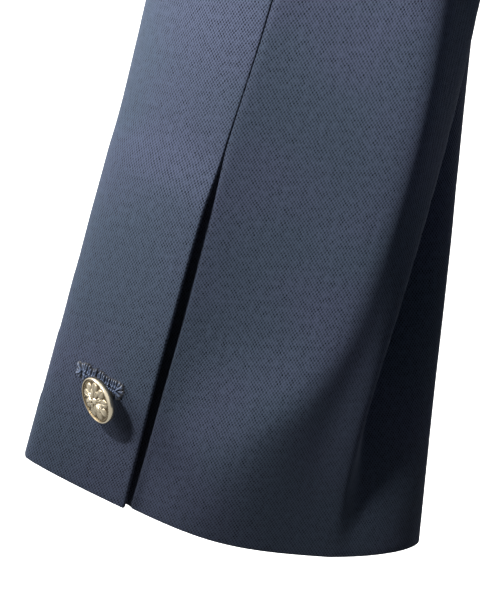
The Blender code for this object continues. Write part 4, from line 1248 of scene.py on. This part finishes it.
def shank_button(name, node, material, facing=None):
    """Cast button with a relief face, on the foot, axis and radius of its solid.

    The axis is the direction in which the solid is thinnest, away from the narrow shank,
    unless the button tips on its shank to face another way.
    """
    points = np.empty(len(node.data.vertices) * 3)
    node.data.vertices.foreach_get("co", points)
    matrix = np.array(node.matrix_world)
    points = (points.reshape(-1, 3) @ matrix[:3, :3].T + matrix[:3, 3]) / MM
    centre = (points.max(0) + points.min(0)) / 2
    axis = np.linalg.svd(np.unique(points.round(3), axis=0) - centre)[2][2]
    along = (points - centre) @ axis
    off = points - centre - along[:, None] * axis
    wide = along[np.linalg.norm(off, axis=1) > 0.75 * np.linalg.norm(off, axis=1).max()]
    if wide.mean() < (along.max() + along.min()) / 2:
        axis, along = -axis, -along
    foot = points[along < along.min() + 0.05].mean(0)
    off = points - foot - ((points - foot) @ axis)[:, None] * axis
    radius = np.linalg.norm(off, axis=1).max()

    if facing is not None:
        axis = unit(np.array(facing))
    form = np.array(BUTTON_FORM)
    face = np.linspace(FACE_EDGE, 0, FACE_RINGS + 1)
    share = np.concatenate([form[:, 0], face])
    height = np.concatenate([form[:, 1], FACE_LOW + FACE_DOME * (1 - (face / FACE_EDGE) ** 2)])
    angle = np.linspace(0, math.tau, BUTTON_SIDES, endpoint=False)
    relief = rosette(share[:, None], angle) * (np.arange(len(share)) >= len(form))[:, None]
    relief[-1] = 1.0
    # The plating is worn bright on the relief and ever more from the back up to the rim
    worn = relief.copy()
    worn[: len(form)] = np.interp(height[: len(form)], (0.3, 0.7), (0.15, 0.9))[:, None]
    worn[len(form) - GROOVE_ROWS : len(form)] = 0.0
    across = unit(np.cross(axis, (0.0, 0.0, 1.0)))
    upward = np.cross(across, axis)
    rise = (height[:, None] + RELIEF * relief)[..., None] * axis
    spread = share[:, None, None] * (
        np.cos(angle)[:, None] * across - np.sin(angle)[:, None] * upward
    )
    rings = foot + radius * (rise + spread)
    flat = np.concatenate([rings[0, :1], rings[1:-1].reshape(-1, 3), rings[-1, :1]])
    faces = wrapped_faces(len(share), BUTTON_SIDES, True)
    piece = mesh_object(name, flat, faces, None, material)
    give_relief(piece, np.concatenate([worn[0, :1], worn[1:-1].ravel(), worn[-1, :1]]))
    return piece


# Half the slit's length, the stitches' length and their pitch
CUFF_HOLE, FRONT_HOLE = (7.8, 3.1, 1.05), (11.0, 1.9, 0.8)
STITCH_HEIGHT, STITCH_SINK, THREAD_DEPTH = 1.1, 0.12, 0.3
SLIT_HALF_WIDTH = 0.12
HOLE_RINGS, STITCH_SIDES = 12, 8
FAN = 0.55  # radius of the end's middle line, as a share of a stitch
# How much stitches differ in length, in height and in lean
LENGTH_VARIES, HEIGHT_VARIES, LEAN_VARIES = 0.22, 0.4, 0.25
KNOT_HIGHER, KNOT_AT, KNOT_WIDTH = 0.45, 0.16, 0.13
CUFF_HOLE_DEGREES, CUFF_HOLE_UP = 8.3, 0.9  # its middle past the button and up from it
FRONT_HOLE_X = 8.0
FRONT_HOLE_ROWS_WITHIN, FRONT_HOLE_COLUMNS = 25.0, 24  # the part of the front that it needs


def on_cuff(u, v):
    """Point and normal of the top sleeve, u round it towards the vent and v up it."""
    height = np.array(CUFF_BUTTON_ABOVE_HEM)
    button = degrees_along(sleeve_seam("back_seam", height), height, CUFF_BUTTON_FROM_EDGE)

    def at(u, v):
        degrees = button + CUFF_HOLE_DEGREES - u / RING_MM_PER_DEGREE
        above = CUFF_BUTTON_ABOVE_HEM + CUFF_HOLE_UP + v
        past = degrees - sleeve_seam("back_seam", above)
        return sleeve_ring(degrees, above, vent_lift(past, above))

    step = 0.5
    point = at(u, v)
    return point, unit(np.cross(at(u + step, v) - point, at(u, v + step) - point))


def on_front(panel, z):
    """The same for a front at height z, u away from its edge and v up it."""
    near = panel[np.abs(panel[:, 0, 2] - z) < FRONT_HOLE_ROWS_WITHIN, :FRONT_HOLE_COLUMNS]
    return lambda u, v: seen_from_front(near, FRONT_HOLE_X + u, z + v)


def buttonhole(name, surface, sizes, material, mirror):
    """Hand-worked buttonhole: stitches side by side round a slit, fanned at its ends.

    The sizes are half the slit's length, the stitches' length and their pitch. The closed
    ring is a grid round the slit. A stitch is |sin| of the way round, to a power that makes
    it plump; each swells at the slit, where the thread is knotted, and they differ a little
    in length and height.
    """
    half, length, pitch = sizes
    end = math.pi * length * FAN
    round_all = 4 * half + 2 * end
    count = int(round(round_all / pitch))
    columns = count * STITCH_SIDES
    s = np.arange(columns) / columns * round_all
    stitch = s / round_all * count
    number = np.floor(stitch).astype(int)
    chance = np.random.default_rng(7).uniform(-1, 1, (3, count))
    reach = length * (1 + LENGTH_VARIES * chance[0][number])
    plump = 1 + HEIGHT_VARIES * chance[1][number]
    straight = 2 * half
    turn_a = np.clip((s - straight) / end, 0, 1) * math.pi
    turn_b = np.clip((s - 2 * straight - end) / end, 0, 1) * math.pi
    turn = turn_a + turn_b
    along = np.where(
        s < straight, s - half, np.where(s < straight + end, half, half - (s - straight - end))
    )
    along = np.clip(along, -half, half)
    out_u, out_v = np.sin(turn), np.cos(turn)
    share = np.linspace(0, 1, HOLE_RINGS)
    d = share[:, None] * reach + SLIT_HALF_WIDTH
    thread_shape = np.abs(np.sin(np.pi * stitch)) ** 0.55
    ends = np.clip((1 - share) / 0.22, 0, 1) ** 0.5 * np.clip(share / 0.06, 0, 1) ** 0.5
    knot = 1 + KNOT_HIGHER * np.exp(-(((share - KNOT_AT) / KNOT_WIDTH) ** 2))
    height = STITCH_HEIGHT * plump * thread_shape * (ends * knot)[:, None] - STITCH_SINK
    lean = LEAN_VARIES * chance[2][number] * share[:, None]
    u = along + out_u * d + out_v * lean
    v = out_v * d - out_u * lean
    cloth, normal = surface(u, v)
    thread, underside = cloth + normal * height[..., None], cloth - normal * THREAD_DEPTH
    points = np.concatenate([thread, underside[::-1]])
    faces = wrapped_faces(len(points), columns, False)
    if mirror:
        points = points * (-1.0, 1.0, 1.0)
    else:
        faces = faces[:, ::-1]
    piece = mesh_object(name, points.reshape(-1, 3), faces, None, material)
    # The thread's colour reads this: painted shade where it lies low, painted highlight where it
    # stands out
    proud = thread_shape * (ends * knot)[:, None]
    give_relief(piece, np.concatenate([proud, 0 * proud]).ravel())


def seam_matched(panels):
    """Normals of the three body panels, the same for both panels at each shared seam."""
    front, side, back = (grid_normals(grid) for grid in panels)
    rows = slice(0, BODY_ROWS + 1)
    front[rows, -1] = side[:, 0] = unit(front[rows, -1] + side[:, 0])
    back[rows, 0] = side[:, -1] = unit(back[rows, 0] + side[:, -1])
    back[:, -1, 0] = 0
    shoulder = SHOULDER_POINT - NECK_POINT
    front[-1] = back[-1] = np.array([-shoulder[2], 0.0, shoulder[0]])
    return unit(front), unit(side), unit(back)


wool = navy_wool()
thread = silk_twist()
metal = antique_silver()

# Body, whose creases differ from side to side; the right front is lifted over the left one
body = {}
for side in ("left", "right"):
    smooth = (front_grid(), side_grid(), back_grid())
    faces = seam_matched(smooth)
    shaped = [creased(grid, facing, side) for grid, facing in zip(smooth, faces)]
    if side == "right":
        shaped[0] = shaped[0] + faces[0] * closure_lift(smooth[0])[..., None]
    body[side] = dict(zip(("front", "side", "back"), zip(shaped, seam_matched(shaped))))
for name, thickness, seams in (
    ("front", FRONT_CLOTH, ("right", "top")),
    ("side", CLOTH, ("left", "right")),
    ("back", CLOTH, ("left", "right", "top")),
):
    pair(name, {side: body[side][name] for side in body}, thickness, wool, seams)

for side in body:
    lapel, lapel_faces = lapel_grid(body[side]["front"][0])
    if side == "right":
        lapel, lapel_faces = mirrored(lapel), mirrored(lapel_faces)
    piece = cloth_shell(
        f"cloth_lapel_{side}", lapel, CLOTH, wool, UPRIGHT, normals=lapel_faces
    )
    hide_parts(f"lapel_{side}")

# The collar's grain runs from its seam up and over, so its rows are turned to columns
half = collar_half(body["left"]["front"][0], body["left"]["back"][0])
collar = np.concatenate([(half * (-1.0, 1.0, 1.0))[:0:-1], half])
collar = collar.swapaxes(0, 1)[:, ::-1]
piece = cloth_shell("cloth_collar", collar, CLOTH, wool, None)
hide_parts("collar")

(top, top_there), (under, under_there) = sleeve_grid("top"), sleeve_grid("under")
to_top, to_under = sleeve_normals(top, under)
sleeves = {"topsleeve": {}, "undersleeve": {}}
for side in ("left", "right"):
    shaped = creased(top, to_top, side), creased(under, to_under, side)
    for name, panel in zip(sleeves, zip(shaped, sleeve_normals(*shaped))):
        sleeves[name][side] = panel
pair("topsleeve", sleeves["topsleeve"], CLOTH, wool, ("left", "right"), top_there)
pair("undersleeve", sleeves["undersleeve"], CLOTH, wool, ("right",), under_there)

facings = {"cuff_left": CUFF_FACING, "cuff_right": (-CUFF_FACING[0], *CUFF_FACING[1:])}
for name in ("front_upper", "front_lower", "cuff_left", "cuff_right"):
    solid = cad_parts[f"button_{name}"]
    piece = shank_button(f"fine_button_{name}", solid, metal, facings.get(name))
    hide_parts(f"button_{name}")

for side in ("left", "right"):
    buttonhole(f"buttonhole_cuff_{side}", on_cuff, CUFF_HOLE, thread, side == "right")
right_front = body["right"]["front"][0]
for name, z in FRONT_BUTTON_HEIGHTS.items():
    surface = on_front(right_front, z)
    buttonhole(f"buttonhole_front_{name}", surface, FRONT_HOLE, thread, True)

# ---------------------------------------------------------------- camera, floor and light


def view_axes(azimuth, elevation):
    """Right, up and back directions of a view from an azimuth and elevation in degrees."""
    a, e = math.radians(azimuth), math.radians(elevation)
    back = np.array([math.sin(a) * math.cos(e), -math.cos(a) * math.cos(e), math.sin(e)])
    right = np.array([math.cos(a), math.sin(a), 0.0])
    return right, np.cross(back, right), back


def place_object(name, data, axes, place):
    """Puts a camera or light into the scene with given axes, at a place in metres."""
    matrix = np.eye(4)
    matrix[:3, :3], matrix[:3, 3] = np.stack(axes, 1), place
    placed = bpy.data.objects.new(name, data)
    placed.matrix_world = Matrix(matrix.tolist())
    bpy.context.scene.collection.objects.link(placed)
    return placed


# The camera looks at the left cuff from behind and its inner side
VIEW_FROM, VIEW_DISTANCE = (200.0, 14.0), 1400.0
ANCHOR = np.array([316.0, -27.0, -624.0])  # centre of the cuff's hem
ANCHOR_PIXEL = (225.5, 499.5)
IMAGE_SIZE = (500, 602)
MM_PER_PIXEL = 0.3205  # at the anchor
SENSOR = 36.0


def make_camera():
    """Camera whose picture has the anchor at its pixel and scale."""
    right, up, back = view_axes(*VIEW_FROM)
    dx = (ANCHOR_PIXEL[0] - IMAGE_SIZE[0] / 2) * MM_PER_PIXEL
    dy = -(ANCHOR_PIXEL[1] - IMAGE_SIZE[1] / 2) * MM_PER_PIXEL
    place = ANCHOR + back * VIEW_DISTANCE - right * dx - up * dy
    data = bpy.data.cameras.new("camera")
    data.sensor_width = SENSOR
    data.lens = SENSOR * VIEW_DISTANCE / (MM_PER_PIXEL * IMAGE_SIZE[1])
    data.clip_start, data.clip_end = 0.05, 100.0
    bpy.context.scene.camera = place_object("camera", data, (right, up, back), place * MM)


FLOOR_Z, FLOOR_HALF = -1350.0, 30000.0


def make_floor():
    """A wide sheet of paper. It only shows: the world's light stands in for what it reflects."""
    corners = np.array([(-1, -1), (1, -1), (1, 1), (-1, 1)]) * FLOOR_HALF
    mesh = bpy.data.meshes.new("floor")
    mesh.from_pydata([(x * MM, y * MM, FLOOR_Z * MM) for x, y in corners], [], [(0, 1, 2, 3)])
    mesh.materials.append(studio_paper())
    floor = bpy.data.objects.new("floor", mesh)
    bpy.context.scene.collection.objects.link(floor)
    floor.visible_diffuse = False
    floor.visible_glossy = False


def aimed_light(name, kind, towards, energy, distance=3.0, target=(0.0, 0.0, -0.3), **settings):
    """A light that shines from a direction given as azimuth and elevation, like a view."""
    data = bpy.data.lights.new(name, kind)
    data.energy = energy
    for key, value in settings.items():
        setattr(data, key, value)
    axes = view_axes(*towards)
    place_object(name, data, axes, np.array(target) + axes[2] * distance)


SOFT_SUN = math.radians(30)  # as wide as a large diffuser
# Light from all round, stronger from above, and what shiny things mirror of the studio
LOW, HIGH = -0.3, 1.0
FILL_BELOW, FILL_ABOVE = 0.045, 0.16
MIRRORED_LOW, MIRRORED_HIGH = -0.6, 0.3
MIRRORED_BELOW, MIRRORED_ABOVE = 0.75, 1.3


def studio_world():
    """Soft light from all round, brighter where shiny things mirror it; white to the camera."""
    world = bpy.data.worlds.new("studio")
    bpy.context.scene.world = world
    world.use_nodes = True
    tree = world.node_tree
    sky = tree.nodes["Background"]
    ray = add_node(tree, "LightPath").outputs
    towards = add_node(tree, "TexCoord").outputs["Generated"]
    height = add_node(tree, "SeparateXYZ", {}, {0: towards}).outputs[2]
    fill = add_node(
        tree, "MapRange", {"interpolation_type": "SMOOTHSTEP"},
        {0: height, 1: LOW, 2: HIGH, 3: FILL_BELOW, 4: FILL_ABOVE},
    )
    studio = add_node(
        tree, "MapRange", {"interpolation_type": "SMOOTHSTEP"},
        {0: height, 1: MIRRORED_LOW, 2: MIRRORED_HIGH, 3: MIRRORED_BELOW, 4: MIRRORED_ABOVE},
    )
    lit = add_node(
        tree, "Math", {"operation": "MULTIPLY_ADD"},
        {0: ray["Is Glossy Ray"], 1: studio.outputs[0], 2: fill.outputs[0]},
    )
    seen = add_node(
        tree, "Math", {"operation": "MAXIMUM"}, {0: ray["Is Camera Ray"], 1: lit.outputs[0]}
    )
    sky.inputs["Color"].default_value = (1.0, 1.0, 1.0, 1.0)
    tree.links.new(seen.outputs[0], sky.inputs["Strength"])


make_camera()
make_floor()
# A flagged lamp to the camera's left, whose soft-edged pool is brightest above the cuff
aimed_light(
    "key", "SPOT", (164.4, 37.2), 440.0, distance=1.538, target=(0.25, 0.0, -0.36),
    spot_size=math.radians(17.6), spot_blend=1.0, shadow_soft_size=0.12,
)
aimed_light("side", "SUN", (108.0, 42.0), 4.4, angle=SOFT_SUN)
aimed_light("far_side", "SUN", (270.0, 25.0), 1.1, angle=SOFT_SUN)
aimed_light("front", "SUN", (15.0, 40.0), 3.0, angle=SOFT_SUN)
studio_world()
bpy.context.scene.view_settings.view_transform = "Standard"
